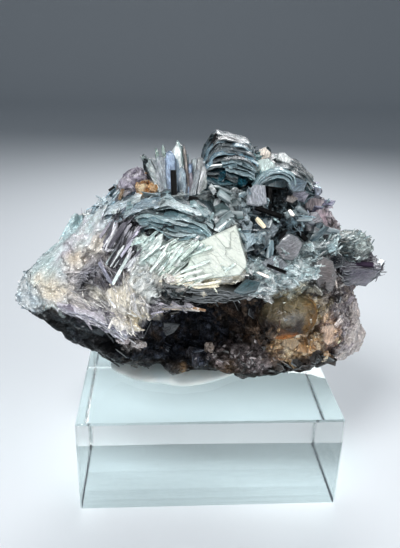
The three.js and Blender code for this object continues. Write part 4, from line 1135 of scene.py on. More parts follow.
# Flat-faced crystals: corners of the face seen, tint.
slabs = {
    "thick": 1.6, "sunk": 0.2,
    # shares of the face's size: unevenness, the drawn in face, and heights of point, face and rim
    "uneven": 0.06, "drawn": 0.9, "point": 0.12, "offMiddle": 0.4, "face": 0.04, "rim": -0.08,
    # rims: share of the painted edge highlight at the point, the drawn in face, the rim and the back
    "rims": (0, 0.3, 0.7, 0.1), "tone": (0.85, 1.1),
    "faces": {
        "leafA": ([(5.3, -18.1, 86.4), (7.2, -16.8, 87.3), (9, -17.4, 85.4), (8.7, -19.1, 82.8),
            (6.5, -21, 81), (5.5, -19.8, 83.5)], "#b5c4cc"),
        "leafB": ([(6.7, -22.3, 83.4), (9.3, -21.2, 84), (9.2, -22.8, 82), (6.9, -24.3, 80.7)], "#9fb4bd"),
        "paleFan": ([(7.3, -16.8, 90.1), (7.9, -15.1, 93), (9.7, -13.9, 94.5), (12.3, -13.9, 94),
            (12.7, -16.2, 90), (10.1, -16.9, 89.4)], "#9da1aa"),
        "greyFace": ([(19.1, -7.9, 88.2), (19.6, -6.8, 90.4), (21.5, -6.5, 90.7), (22.4, -7.2, 88.9),
            (21, -7.9, 87.6)], "#8a7f7a"),
        "prismLow": ([(-1.1, -15.5, 89.4), (1.5, -14.7, 90.3), (3.4, -16.2, 88.6), (2.8, -18.7, 85.7),
            (0, -19.2, 85.1), (-1.6, -17.1, 87.6)], "#3f5f61"),
        "prismGrey": ([(4.8, -18.4, 85.7), (4.7, -16.4, 89), (6.6, -14.8, 90.3), (8.7, -15, 88.8),
            (8.8, -16.6, 86.2), (6.9, -18.1, 84.8)], "#8fa0a6"),
        "eyeFace": ([(12.2, -8.6, 92.1), (12.8, -7.3, 94.8), (16, -6.5, 95.9), (19.8, -6.8, 94.2),
            (19.5, -7.8, 92), (16, -8.5, 91.3)], "#3d5c66"),
        "mintBlockA": ([(10, -6.4, 95.8), (10.9, -4.6, 98.3), (14, -4.6, 98.9), (16, -5.8, 97.6),
            (15.7, -7.1, 95.8), (12.3, -7.3, 95)], "#cfe0dc"),
        "mintBlockB": ([(14.7, -1.1, 97.4), (17.1, 0.6, 98.1), (19.7, 0.3, 96.6), (18.6, -2, 94.6),
            (15.9, -3, 94.8)], "#b9cfce"),
        "creamBlock": ([(12.1, 1.3, 97.4), (12.6, 2.3, 99.9), (14.2, 2.2, 100.5), (15.6, 1.2, 99.1),
            (15.2, 0.4, 97.1), (13.1, 0.6, 96.4)], "#dccfc1"),
        "whiteBlock": ([(17.3, -2, 98.6), (17.8, -1.1, 99.8), (19.3, -0.5, 99.7), (21.2, -0.8, 98.1),
            (20.7, -1.7, 96.9), (18.9, -2, 97.5)], "#eef2f0"),
        "shoulderA": ([(18.9, -1.7, 94.8), (22.7, 0, 96.1), (25.7, -1.1, 94.5), (26.9, -2.5, 92.6),
            (24.6, -3, 92.5), (21, -2.8, 93.2)], "#687b84"),
        "shoulderB": ([(18.6, -9.7, 93.3), (21.7, -8, 94.8), (24.7, -8.1, 93.5), (23.5, -9.7, 91.2),
            (20.1, -10.4, 91.3)], "#586c7a"),
        "pinkA": ([(24.9, -5.6, 85.4), (25.3, -4.1, 87.8), (27.7, -3.3, 88.1), (30.9, -3.3, 87),
            (31.1, -4.4, 85), (28.1, -5.5, 84.2)], "#c0b0b4"),
        "pinkB": ([(27.4, -10.5, 85.2), (28.3, -9.4, 86.5), (30.6, -8.5, 85.1), (31.3, -9.2, 82),
            (28.7, -10.8, 82)], "#b39ca5"),
        "pinkC": ([(25.1, -9.9, 81.7), (28.2, -8, 83.3), (31.8, -8.4, 81.5), (33.1, -9.5, 79.3),
            (29.9, -10.3, 79.3)], "#c0aeb3"),
        "tanWall": ([(26.5, -17.5, 74.3), (28.6, -16.8, 76), (31.1, -17, 74.1), (32.3, -17.9, 70.5),
            (31.2, -18.9, 66.9), (27.9, -19.1, 67.6), (26.1, -18.4, 71)], "#6b6161"),
        # painted shadow: a dark navy face where the shadow falls between the beak's top and its jaw
        "navyShadowLens": ([(31.1, -9.5, 72.6), (34.3, -7.9, 73.5), (37.2, -8.8, 72.4), (35.9, -11, 70.9),
            (32.6, -12.2, 70.4)], "#141c2b"),
        "jawFace": ([(36, -7.3, 66.9), (39.3, -6.2, 68.6), (45.9, -5.8, 67.8), (48, -6, 67),
            (44.1, -7.8, 63.7), (38.4, -8.5, 63.7)], "#615d6d"),
        "tealLow": ([(3.6, -28.5, 72.1), (6.8, -25.7, 73.8), (10.8, -26.2, 73), (9.5, -28.3, 71.5),
            (6.2, -29.5, 71)], "#2c5159"),
        "footFace": ([(30.5, -15.8, 50.5), (30.6, -15, 53.9), (33.9, -14.2, 54.4), (35.8, -14.2, 52.5),
            (35.1, -15, 49.4), (32.4, -15.7, 48.8)], "#c7a78c"),
        "flake": ([(-16.6, -11.9, 51.9), (-14.9, -11.5, 53.6), (-12.1, -10.5, 53.3), (-8.4, -9.1, 51.6),
            (-10.1, -9.8, 49.7), (-12.7, -10.5, 48.8), (-15.5, -11.9, 49.9)], "#23262f"),
        "flakeC": ([(-30.2, -18.1, 57.7), (-26.9, -19.5, 59.6), (-24.6, -19.5, 57.5), (-26.7, -17.3, 53.6),
            (-29.7, -16.8, 54.3)], "#141a26"),
        "roundPlate": ([(16.4, -19.9, 81.6), (18.1, -19.6, 83.1), (20.8, -18.1, 82), (22.3, -18.3, 79.6),
            (21.3, -18.8, 76.6), (19.7, -19.4, 75.2), (17, -19.7, 76.2), (15.1, -19.7, 78.9)], "#8b898e"),
        "lilacSlab": ([(11.1, -22.4, 76.2), (13.7, -21.4, 78.3), (16.6, -21.3, 76.9), (18.7, -23, 75.1),
            (17.3, -22, 72.8), (13.1, -23.4, 74.2)], "#7c8289"),
        "midFace": ([(17.6, -13.6, 86.4), (21.2, -12.2, 87.6), (24.4, -13.7, 85.9), (23.6, -13.2, 82.2),
            (19.7, -13.6, 82.8)], "#8d9ea2"),
        "rightFace": ([(23.3, -12.5, 86.1), (26.5, -11.1, 86.5), (28.9, -11.5, 83.6), (27.7, -13.1, 81.1),
            (24.5, -12.6, 81.7)], "#a3a0a6"),
        "leafC": ([(8.6, -19.7, 82.4), (11.2, -18.8, 84.3), (13.8, -18.7, 83.2), (13.3, -20.3, 79.7),
            (10.2, -20.8, 78.9)], "#66767e"),
        "leafD": ([(11.5, -16.1, 85), (14.2, -15.6, 85.4), (16.3, -15.9, 83.3), (14.7, -17.5, 81.2),
            (12.3, -17.5, 81.7)], "#8b97a0"),
        "blueFace": ([(22.4, -1.3, 96.2), (24.9, -1.5, 95.4), (26.5, -1.5, 92.9), (24.4, -2.9, 91.6),
            (21.8, -1.5, 93.4)], "#7f98a6"),
        "lilacSide": ([(20.1, -7.9, 92), (23, -7.7, 92.5), (25.7, -6.5, 89.8), (24.2, -6.9, 86.9),
            (21.4, -7, 88.3)], "#a29fb0"),
        "orangeA": ([(19, -17.2, 49.8), (20.1, -16.2, 52), (22.9, -16.1, 52.3), (24.3, -16.8, 50.5),
            (22.3, -17.7, 48.5)], "#d9b98c"),
        "orangeB": ([(23.5, -17.7, 47.8), (24.1, -16.7, 50.1), (26.7, -16.2, 50.4), (28.4, -16.8, 48.6),
            (26.7, -17.7, 47.1)], "#d5a25e"),
    },
}


def slabPiece(finish):
    # each face's corners drawn in and raised a little for a bevel, the face itself parted in
    # facets round a point off its middle, and the whole carried back into the rock
    random = np.random.default_rng(5)
    corners, faceSets, attributes, start = [], [], {label: [] for label in gathered}, 0
    for outline, code in slabs["faces"].values():
        outline = np.array(outline, float)
        count = len(outline)
        middle = outline.mean(0)
        arms = np.roll(outline, -1, 0) - middle
        normal = unit(np.cross(outline - middle, arms).sum(0))
        if normal[1] > 0:
            normal, outline = -normal, outline[::-1]
        size = np.linalg.norm(outline - middle, axis=1).mean()
        middle = middle - normal * slabs["sunk"]
        uneven = random.normal(0, slabs["uneven"], outline.shape) * size
        outline = outline - normal * slabs["sunk"] + uneven
        aside = random.uniform(-slabs["offMiddle"], slabs["offMiddle"])
        point = middle + normal * slabs["point"] * size + (outline[0] - middle) * aside
        drawn = middle + (outline - middle) * slabs["drawn"]
        rim = outline + normal * slabs["rim"] * size
        made = np.concatenate([point[None], drawn + normal * slabs["face"] * size, rim,
                               drawn - normal * slabs["thick"]])
        corners.append(made)
        index = np.arange(count)
        beside = (index + 1) % count
        faceSets.append(start + np.stack([0 * index, 1 + index, 1 + beside], -1))
        for ring in range(2):
            here, there = (start + 1 + ring * count + each for each in (index, beside))
            faceSets.append(np.stack([here, here + count, there + count, there], -1))
        faceSets.append((start + 1 + 2 * count + index)[None])
        attributes["tint"].append(paint(code) * random.uniform(*slabs["tone"], (len(made), 1)))
        attributes["rim"].append(np.repeat(slabs["rims"], [1, count, count, count]))
        lie = unit(outline[0] - outline[count // 2])
        flat = made - middle
        grain = [flat @ np.cross(normal, lie), flat @ lie, np.full(len(flat), start)]
        attributes["grain"].append(np.stack(grain, -1))
        start += len(made)
    makePiece("flat_crystals", np.concatenate(corners), faceSets, finish, joined(attributes))


# Stacks of thin curved sheets: edges of the first and last sheet, how many, how deep they go into the
# rock and which way, how thick, how much they ripple, and their tints, with painted shade on the first sheets
# of some.
stacks = {
    "wavesLeft": {
        "first": [(-31.8, 0.2, 84.2), (-27.3, -4, 86.6), (-23.4, -6.1, 88.6), (-19.7, -6.1, 89.7),
            (-16.6, -3.9, 90.2)],
        "last": [(-26.7, -14.8, 83.4), (-23.6, -14.7, 85.2), (-20.6, -14.9, 86.9), (-17, -15.3, 88.4),
            (-14.5, -16, 89.1)],
        "count": 18, "depth": 4.5, "into": (0.15, 0.95, 0.2), "thick": 0.32, "chip": 0.9, "ripple": 0.8,
        "tints": "#95adba #c5d4de #597484 #385261 #d8e5eb"},
    "wavesTop": {
        "first": [(-22.7, -10, 88.1), (-18.4, -9, 88.9), (-15, -8.8, 90.2), (-12.4, -9.4, 91.7),
            (-9.3, -10.9, 89.8), (-5.6, -13.2, 89.1), (-2.7, -16.3, 88.7), (-1.2, -20.2, 88.2)],
        "last": [(-23.1, -13.6, 85.7), (-19, -14.3, 87.3), (-15, -15.3, 88.2), (-12, -16.4, 88.8),
            (-8.8, -17.7, 88.2), (-5.6, -19.2, 87.6), (-3.2, -20.9, 86.9), (-1.4, -22.8, 85.7)],
        "count": 20, "depth": 5, "into": (0.05, 0.97, 0.14), "thick": 0.32, "chip": 0.9, "ripple": 0.9,
        "firstSheetShade": 0.8, "tints": "#799da4 #b3c9cd #3c6067 #d1e0e2 #1d3b42 #95b4b7"},
    "wavesLow": {
        "first": [(-21.3, -14.9, 86.1), (-18, -15.9, 87.2), (-14.5, -17, 87.5), (-11, -18.2, 87.2),
            (-7.6, -19.5, 86.8), (-4.7, -20.9, 86.2), (-2.6, -22.4, 85.2), (-1.4, -24, 84)],
        "last": [(-18.8, -19, 84.4), (-16.3, -20.9, 85), (-13.7, -22.3, 84.2), (-11.2, -23.3, 83.3),
            (-8.6, -24, 83.3), (-6.2, -24.2, 83.6), (-3.7, -24, 83.1), (-1.9, -23.4, 82.1)],
        "count": 16, "depth": 5, "into": (0.05, 0.97, 0.1), "thick": 0.32, "chip": 0.9, "ripple": 0.9,
        "tints": "#6a8e96 #a4bfc3 #375c67 #c8dadd #173137"},
    "peak": {
        "first": [(-2.9, -2.7, 97.9), (-1.7, 0, 100.9), (0.8, 1.8, 103.9), (3.5, 2.5, 103.6),
            (6.8, 2.2, 102.6), (9.2, 0.9, 101.9), (10.6, -1.3, 100.5)],
        "last": [(-2, -7.2, 96.4), (-0.8, -6.7, 97.9), (1.6, -6.4, 98.9), (5.1, -6.4, 99.2),
            (8.3, -6.8, 98.6), (10, -7.1, 97.8), (10.7, -8.4, 97.3)],
        "count": 13, "depth": 5, "into": (0, 0.98, 0.05), "thick": 0.6, "chip": 1.1, "ripple": 0.6,
        "firstSheetShade": 0.3, "tints": "#2d5365 #477284 #17303b #0a161f #5e8da1 #24495b"},
    "peakUnder": {
        "first": [(1.2, -5.8, 98.3), (5.1, -6, 98.6), (8.3, -6.4, 98.1), (10.4, -7.2, 96.9)],
        "last": [(2.6, -8, 95.9), (5.6, -8.4, 95.7), (8.4, -9, 95.2), (10.2, -9.8, 94.4)],
        "count": 6, "depth": 4, "into": (-0.1, 0.97, 0.1), "thick": 0.45, "chip": 1.5, "ripple": 1.1,
        "tints": "#2c505d #4d717d #18323c #8ea8b0 #0f222a"},
    "tealFace": {
        "first": [(-2.3, -6.8, 96.5), (0.8, -7.4, 96.9), (3.6, -7.4, 96.3), (6, -8.2, 95.2)],
        "last": [(-2.4, -11.4, 93.4), (0, -12.4, 92.9), (2.6, -11.8, 92.4), (5.2, -11.6, 92.3)],
        "count": 7, "depth": 4, "into": (0.1, 0.97, 0.12), "thick": 0.45, "chip": 1.6, "ripple": 1.1,
        "tints": "#0f4653 #1a6270 #0b343f #3f8793 #08222a"},
    "shoulder": {
        "first": [(13, -2.8, 96.3), (17, 0, 97.4), (21.3, 0.6, 96.5), (24.7, -1, 94.9), (26.7, -4.9, 93.4)],
        "last": [(12.9, -8.1, 94.6), (17, -6.8, 95.7), (20.7, -6, 94.8), (23.8, -6.7, 93),
            (24.9, -8.9, 91.4)],
        "count": 7, "depth": 5, "into": (0, 0.98, 0.05), "thick": 0.7, "chip": 1.6, "ripple": 1,
        "firstSheetShade": 0.45, "tints": "#2a454d #39565e #192e34 #45636b #102127"},
    "eye": {
        "first": [(9.6, -11, 92.7), (12.2, -8.2, 95.2), (16.3, -7.5, 96.5), (20.1, -7.8, 95.2),
            (20.8, -8.8, 92.8)],
        "last": [(10.5, -12.4, 92.4), (13, -9.6, 94.1), (16.5, -8.9, 94.9), (19, -9.2, 93.8),
            (19.5, -9.8, 92)],
        "count": 4, "depth": 4, "into": (0, 0.98, 0), "thick": 0.6, "chip": 0.4, "ripple": 0.3,
        "tints": "#64848d #476670 #7d9ca3"},
    "ledge": {
        "first": [(-13.8, -29.2, 73.6), (-9, -29.4, 72.9), (-3.6, -28.9, 72.1), (1.6, -27.6, 71.2),
            (7.3, -25.1, 70.3)],
        "last": [(-11.5, -27.9, 69.7), (-6.8, -26.7, 68), (-1.8, -25.6, 67.1), (3.6, -23.7, 66.7),
            (8.2, -21.8, 66.3)],
        "count": 12, "depth": 5, "into": (0, 0.97, 0.2), "thick": 0.4, "chip": 0.6, "ripple": 0.5,
        "tints": "#100e14 #16161c #0a080c #201f27 #060608"},
    "jaw": {
        "first": [(35.2, -9, 70.1), (40, -5.7, 69.5), (45.1, -4.3, 68.9), (49.1, -3.3, 68.3)],
        "last": [(37.2, -9, 64.6), (41.5, -6.4, 63.6), (45.9, -4.8, 63.8), (49, -4.2, 65.9)],
        "count": 8, "depth": 4, "into": (0, 0.97, 0.15), "thick": 0.5, "chip": 0.7, "ripple": 0.5,
        "tints": "#514d5c #66626e #3a3544 #7b7680"},
    "lip": {
        "first": [(-42, -13.3, 60.6), (-37.1, -16.5, 60.6), (-32.5, -18.4, 59.5), (-27.8, -19, 57.7),
            (-23.2, -18.3, 54)],
        "last": [(-40.4, -14, 59.2), (-35.8, -16.8, 58.7), (-31.5, -17.7, 57.1), (-27.5, -16.8, 53.9),
            (-23.4, -14.1, 49.3)],
        "count": 7, "depth": 4, "into": (0.1, 0.95, 0.2), "thick": 0.5, "chip": 0.7, "ripple": 0.6,
        "tints": "#b9b3c2 #d3ced8 #958fa1 #e3dfe4"},
}
sheets = {
    "along": 30, "deep": 4,
    "wander": (4.5, 31), "chip": (1.1, 32), "tone": (2.5, 33),  # sizes and seeds of the noises
    "apart": (3.1, 5.7),  # between one sheet's noise and the next one's
    "uneven": 0.25, "drawnBack": (0.9, 0.4), "unevenDepth": 0.25, "rim": 3, "step": 0.6,
    "patchy": (0.9, 0.25),  # plain tone, and how far the tone's noise changes it
}


def smoothLine(points, count):
    # Catmull-Rom through the points: cubic blends of each four neighbours, evenly numbered
    points = np.array(points, float)
    padded = np.concatenate([2 * points[:1] - points[1:2], points, 2 * points[-1:] - points[-2:-1]])
    place = np.linspace(0, len(points) - 1, count)
    index = np.minimum(place.astype(int), len(points) - 2)
    t = (place - index)[:, None]
    a, b, c, d = (padded[index + i] for i in range(4))
    square, cube = 2 * a - 5 * b + 4 * c - d, 3 * b - a - 3 * c + d
    return 0.5 * (2 * b + (c - a) * t + square * t ** 2 + cube * t ** 3)


def sheetPiece(finish):
    # sheet j of a stack: its edge lies between the first and last edge, with slow noise of its own;
    # from the edge it runs into the rock for its depth, rippled along its normal, and has two skins
    random = np.random.default_rng(8)
    longways, deep = sheets["along"], sheets["deep"]
    v = np.linspace(0, 1, deep)
    # front: share of the painted edge highlight, 1 at a sheet's front edge and gone a third of the way in
    front = np.clip(1 - v * sheets["rim"], 0, 1)
    corners, attributes = [], {label: [] for label in gathered}
    for stack in stacks.values():
        first, last = (smoothLine(stack[key], longways) for key in ("first", "last"))
        count = stack["count"]
        share = np.linspace(0, 1, count) + random.uniform(-sheets["uneven"], sheets["uneven"], count) / count
        edge = first + (last - first) * share[:, None, None]
        into = unit(np.array(stack["into"]))
        normal = unit(np.cross(unit(np.gradient(edge, axis=1)), into))
        normal *= np.where(normal[..., 2:] < 0, -1, 1)
        number = np.arange(count)[:, None, None]
        wander, chip = (softNoise((edge + number * apart).reshape(-1, 3), *sheets[name]).reshape(count, -1, 1)
                        for name, apart in zip(("wander", "chip"), sheets["apart"]))
        drawnBack = sheets["drawnBack"][0] * wander + stack["chip"] * chip + sheets["drawnBack"][1]
        edge = edge + stack["ripple"] * wander * normal - into * drawnBack
        depth = stack["depth"] * (1 + sheets["unevenDepth"] * random.normal(size=(count, 1, 1, 1)))
        middle = edge[:, :, None] + into * v[:, None] * depth
        side = normal[:, :, None] * stack["thick"] * 0.5
        ring = np.concatenate([middle + side * (v > 0)[:, None], (middle - side)[:, :, ::-1]], axis=2)
        corners.append(ring.reshape(-1, 3))
        palette = paints(stack["tints"])
        tint = palette[random.integers(len(palette), size=count)]
        # painted shade: the first sheets darker, up to their full tint at the last
        tint = tint * np.linspace(stack.get("firstSheetShade", 1.0), 1.0, count)[:, None]
        plain, change = sheets["patchy"]
        patchy = plain + change * softNoise(ring.reshape(-1, 3), *sheets["tone"]).reshape(count, -1, 1)
        attributes["tint"].append((tint[:, None] * patchy).reshape(-1, 3))
        seed = random.uniform(0, 90, (count, 1, 1))
        grid = np.broadcast_arrays(np.append(front, front[::-1]), np.append(v, v[::-1]) * stack["depth"],
                                   np.arange(longways)[:, None] * sheets["step"], seed)
        attributes["rim"].append(grid[0].ravel())
        attributes["grain"].append(np.stack(grid[1:], -1).reshape(-1, 3))
    corners = np.concatenate(corners)
    size = longways * 2 * deep
    shift = np.arange(0, len(corners), size)[:, None, None]
    faceSets = [(each + shift).reshape(-1, each.shape[1]) for each in ringFaces(longways, 2 * deep)]
    makePiece("curved_sheets", corners, faceSets, finish, joined(attributes))
    print("sheets:", len(corners) // size)


# The clear fan: foot, tip, width, thickness and tint of each blade, how far each foot goes on
# into the rock, and how many thinner ones stand between.
fan = {
    "blades": [
        ((-14.9, -6, 92), (-19.1, -1, 98.5), 1.7, 0.6, "#7b8888"),
        # painted shade: this blade faces the key lamp, so it is tinted darker than its neighbours
        ((-14.4, -8, 91.5), (-17.8, -3, 97.7), 2.3, 0.9, "#7d8c8e"),
        ((-13.6, -6, 91.5), (-15.4, -1, 100.2), 1.3, 0.8, "#839991"),
        ((-13.8, -7, 91.2), (-16.7, -2, 98), 2.3, 0.9, "#b2babe"),
        ((-12.5, -6, 90.9), (-13.6, -1, 101.3), 1.2, 0.8, "#94a9a3"),
        ((-12.3, -9, 90.7), (-14.4, -4, 98.7), 3, 1.1, "#abb4ba"),
        ((-11.3, -10, 90.2), (-11.8, -5, 100.5), 3, 1.2, "#99aec7"),
        ((-11.5, -8, 89.3), (-12.5, -3, 98.2), 2, 0.9, "#a9bbc9"),
        ((-8.9, -7, 90.7), (-9.7, -2, 102.3), 2.6, 1.3, "#a9bcbb"),
        ((-6.8, -8, 91), (-8.1, -3, 101.5), 0.9, 0.8, "#908781"),
        ((-10, -10, 89.4), (-10.5, -5, 98.2), 2.6, 1.1, "#9fb3c3"),
        ((-7.1, -9, 89.7), (-6.5, -4, 96.7), 1.7, 0.9, "#899fba"),
        ((-5.7, -7, 89.1), (-5.1, -2, 98.1), 2.3, 1.1, "#b2bcbf"),
        ((-4.7, -8, 89.7), (-3.6, -3, 98.6), 2.3, 1.1, "#b0b3b4"),
        ((-4, -9, 90.2), (-2.3, -4, 97.3), 2, 1, "#aeb3b6"),
        ((-3.3, -10, 90.8), (-1.8, -5, 95.4), 1.7, 0.9, "#b5bcbb"),
        ((-7.5, -7, 89.4), (-7.5, -2, 98.9), 2, 1, "#aebec3"),
        ((-8.5, -11, 89.4), (-8.9, -6, 96.3), 2.3, 0.9, "#acbec9"),
        ((-11.8, -11, 89.1), (-13.1, -6, 95.2), 2.3, 0.9, "#a9b7be"),
        ((-12.8, -10, 89.9), (-15.2, -5, 95.5), 2, 0.9, "#b1b8be"),
        ((-6.1, -10, 89.4), (-4.4, -5, 95.6), 2, 0.9, "#afb7bc"),
    ],
    "sunk": 3, "turn": 0.45, "fillers": 26, "fillerShare": (0.1, 0.5), "fillerLength": (0.5, 0.85),
    "fillerWidth": (0.5, 1.5), "fillerThick": (0.4, 0.8),
    "fillerTints": "#c9ccd2 #a9adb8 #a5aec4 #dcdde0 #9a949c",
}


def fanPiece(finish):
    # the blades with their feet carried on into the rock, and fillers between two of the first rows;
    # each is turned round its length by its own angle
    random = np.random.default_rng(12)
    rows = []
    for foot, tip, width, thick, code in fan["blades"]:
        foot, tip = np.array(foot), np.array(tip)
        rows.append((foot - unit(tip - foot) * fan["sunk"], tip, width, thick, code))
    for _ in range(fan["fillers"]):
        one, two = (rows[k] for k in random.integers(len(fan["blades"]), size=2))
        share = random.uniform(*fan["fillerShare"])
        foot, tip = (one[end] * (1 - share) + two[end] * share for end in (0, 1))
        tip = foot + (tip - foot) * random.uniform(*fan["fillerLength"])
        width, thick = random.uniform(*fan["fillerWidth"]), random.uniform(*fan["fillerThick"])
        rows.append((foot, tip, width, thick, random.choice(fan["fillerTints"].split())))
    batch = barBatch(rows, (0, -1, 0.15))
    turn = random.uniform(-fan["turn"], fan["turn"], len(rows))[:, None]
    across, face = batch["across"], batch["face"]
    batch["across"] = across * np.cos(turn) + face * np.sin(turn)
    batch["face"] = face * np.cos(turn) - across * np.sin(turn)
    grownPiece("clear_fan", "blade", batch, random, 0.02, finish)


# The white cleavage face: its left and right edge from top to bottom, how far it goes back, and
# the size and height of its steps.
cleavage = {
    "left": [(-5.6, -25.9, 82.8), (-7.3, -27.7, 79.1), (-8.8, -29.5, 74.0)],
    "right": [(3.9, -23.8, 86.6), (5.1, -25.8, 82.5), (6.4, -27.4, 78.0), (4.9, -28.4, 75.5)],
    "back": (1.0, 4.0, -0.6), "grid": 90, "faces": (-0.05, -0.93, 0.36), "lie": (0.75, -0.2, -0.6),
    "drawnOut": 0.55, "steps": (3.6, 51), "height": 1.1, "fineSteps": (1.5, 52), "fineHeight": 0.12,
    "rounded": 3, "edgeDrop": 0.3, "crack": (0.12, 0.35), "fineCrack": (0.1, 0.75),  # width, share whole
    "shade": (0.93, 0.1, 0.2, 0.7),  # plain, more by step, less in cracks, and at the back
    "white": "#dfe4da", "low": "#d2ddd3", "lowFrom": (78, 5), "leftFade": 2.5, "stain": (0.4, 0.47, 0.46),
}


def cleavagePiece():
    # a sheet between the two edges, (1 - u) left + u right, raised by flat steps drawn out slantwise,
    # and carried back; darker along the steps' edges, low down and at its left
    size = cleavage["grid"]
    left, right = (smoothLine(cleavage[side], size) for side in ("left", "right"))
    u = np.linspace(0, 1, size)[None, :, None]
    flat = (left[:, None] * (1 - u) + right[:, None] * u).reshape(-1, 3)
    normal, lie = (unit(np.array(cleavage[way])) for way in ("faces", "lie"))
    squeezed = flat - cleavage["drawnOut"] * (flat @ lie)[:, None] * lie
    numbers, _, margin = nearestCentres(squeezed, *cleavage["steps"], 4)
    fineNumbers, _, fineMargin = nearestCentres(squeezed, *cleavage["fineSteps"], 2)
    lift = cleavage["height"] * (numbers[:, 0] - 0.5) + cleavage["fineHeight"] * (fineNumbers[:, 0] - 0.5)
    row, column = np.divmod(np.arange(size * size), size)
    edge = np.minimum(np.minimum(row, size - 1 - row), np.minimum(column, size - 1 - column))
    inward = np.clip(edge / cleavage["rounded"], 0, 1)
    front = flat + normal * (lift * inward - cleavage["edgeDrop"] * (1 - inward))[:, None]
    grid = np.arange(size * size).reshape(size, size)
    border = np.concatenate([grid[0], grid[1:, -1], grid[-1, -2::-1], grid[-2:0:-1, 0]])
    corners = np.concatenate([front, front[border] + np.array(cleavage["back"])])
    here = grid[:-1, :-1].ravel()
    quads = np.stack([here, here + size, here + size + 1, here + 1], -1)
    around = size * size + np.arange(len(border))
    walls = np.stack([border, np.roll(border, -1), np.roll(around, -1), around], -1)

    width, whole = cleavage["crack"]
    fineWidth, fineWhole = cleavage["fineCrack"]
    crack = (np.exp(-(margin / width) ** 2) * (numbers[:, 1] > whole)
             + 0.5 * np.exp(-(fineMargin / fineWidth) ** 2) * (fineNumbers[:, 1] > fineWhole))
    plain, byStep, inCrack, behind = cleavage["shade"]
    shade = plain + byStep * numbers[:, 2] - inCrack * np.clip(crack, 0, 1)
    shade = np.append(shade, np.full(len(border), behind))
    share = np.append(column, column[border]) / size
    top, fade = cleavage["lowFrom"]
    low = np.clip(np.maximum((top - corners[:, 2]) / fade, 1 - cleavage["leftFade"] * share), 0, 1)[:, None]
    tint = (paint(cleavage["white"]) * (1 - low) + paint(cleavage["low"]) * low) * shade[:, None]
    grain = np.stack([corners @ np.cross(normal, lie), corners @ lie, np.zeros(len(corners))], -1)

    finish = Finish("white cleavage")
    combed = finish.turned(finish.attribute("grain", "Vector"), (1.4, 0.4, 1.0))
    streak = finish.noise(combed, 1.0, 5, 0.7)
    crack = finish.veins(combed, 0.28, 34)
    darker = ((streak - 0.52) * 1.2).clamped() + crack * 0.3
    made = finish.shine(
        Base_Color=finish.mixed(darker, finish.attribute("tint"), cleavage["stain"]),
        Roughness=0.42 - 0.3 * streak, IOR=bariteIndex, Coat_Weight=0.4, Coat_Roughness=0.1,
        Subsurface_Weight=0.15, Subsurface_Radius=evenly, Subsurface_Scale=0.0006,
        Normal=finish.bumped(streak - crack * 0.5, 0.5, 0.0005))
    piece = makePiece("white_cleavage", corners, [quads, walls, around[::-1][None]], made,
                      {"tint": tint, "grain": grain})
    changeMesh(piece.data, lambda shell: bmesh.ops.recalc_face_normals(shell, faces=shell.faces))


# Rounded lumps on the crest and in the hollow: middle, half sizes, tints.
lumps = {
    "pale": ((-20.2, -13.6, 48.3), (2.3, 1.3, 1.0), "#f0e9e6 #e3d8d6 #c9bcb8 #f7f4f2"),
    "pink": ((-24.4, -15.6, 50.7), (2.0, 1.2, 1.0), "#e6dada #d3c6c8 #b3a6a8 #f0eae8"),
    "low": ((-0.4, -11.4, 45.8), (1.5, 1.0, 1.6), "#a8978c #c3b3a8 #7c6c62 #d6cac2"),
    "tan": ((-17.0, -6.4, 90.7), (3.4, 2.4, 2.1), "#c48a4c #e0b981 #a36c3c #ecd5ae #7f532c #cfa06a"),
    "lilac": ((-20.8, -2.4, 91.4), (4.4, 3.4, 2.9), "#b9b2c0 #d3ced9 #8f8898 #e2dde2 #7a7480"),
}

lumpLook = {
    "rings": 34, "sides": 60, "usual": 2.1,  # half size of a lump with facets as large as given here
    "facets": 1.5, "fineFacets": 0.7, "swell": 2.5, "grain": 1.6,
    "pushes": (0.5, 0.7, 0.35), "tilt": 0.6,  # of the swell, facets and fine facets
}

# The honey-brown knob: middle, half sizes, and tints set by where each part faces: a painted lit top, a dark
# brown belly, a painted glow low down, a golden right side and a painted grey highlight in the middle.
amber = {
    "middle": (20.4, -14.2, 58.2), "half": (8.2, 8.0, 7.3), "rings": 60, "sides": 100,
    "facets": (3.2, 61), "swell": (5, 62), "mottle": (2.2, 63), "pushes": (0.1, 0.05, 0.03),
    "top": "#756849", "belly": "#2b1806", "glow": "#b8700c", "right": "#8a6204", "grey": "#78756f",
}


def ballShape(rings, sides):
    # rings and spokes of a ball, (sin a cos b, sin a sin b, cos a), with a point at each end
    theta = np.linspace(0, np.pi, rings + 2)[1:-1, None]
    phi = np.arange(sides)[None] * 2 * np.pi / sides
    ball = np.stack([np.sin(theta) * np.cos(phi), np.sin(theta) * np.sin(phi), np.cos(theta) + 0 * phi], -1)
    ball = np.concatenate([ball.reshape(-1, 3), [(0, 0, 1), (0, 0, -1)]])
    quads, ends = pointedFaces(rings, sides)
    return ball, [quads[:, [0, 3, 2, 1]], ends[:, [0, 2, 1]]]


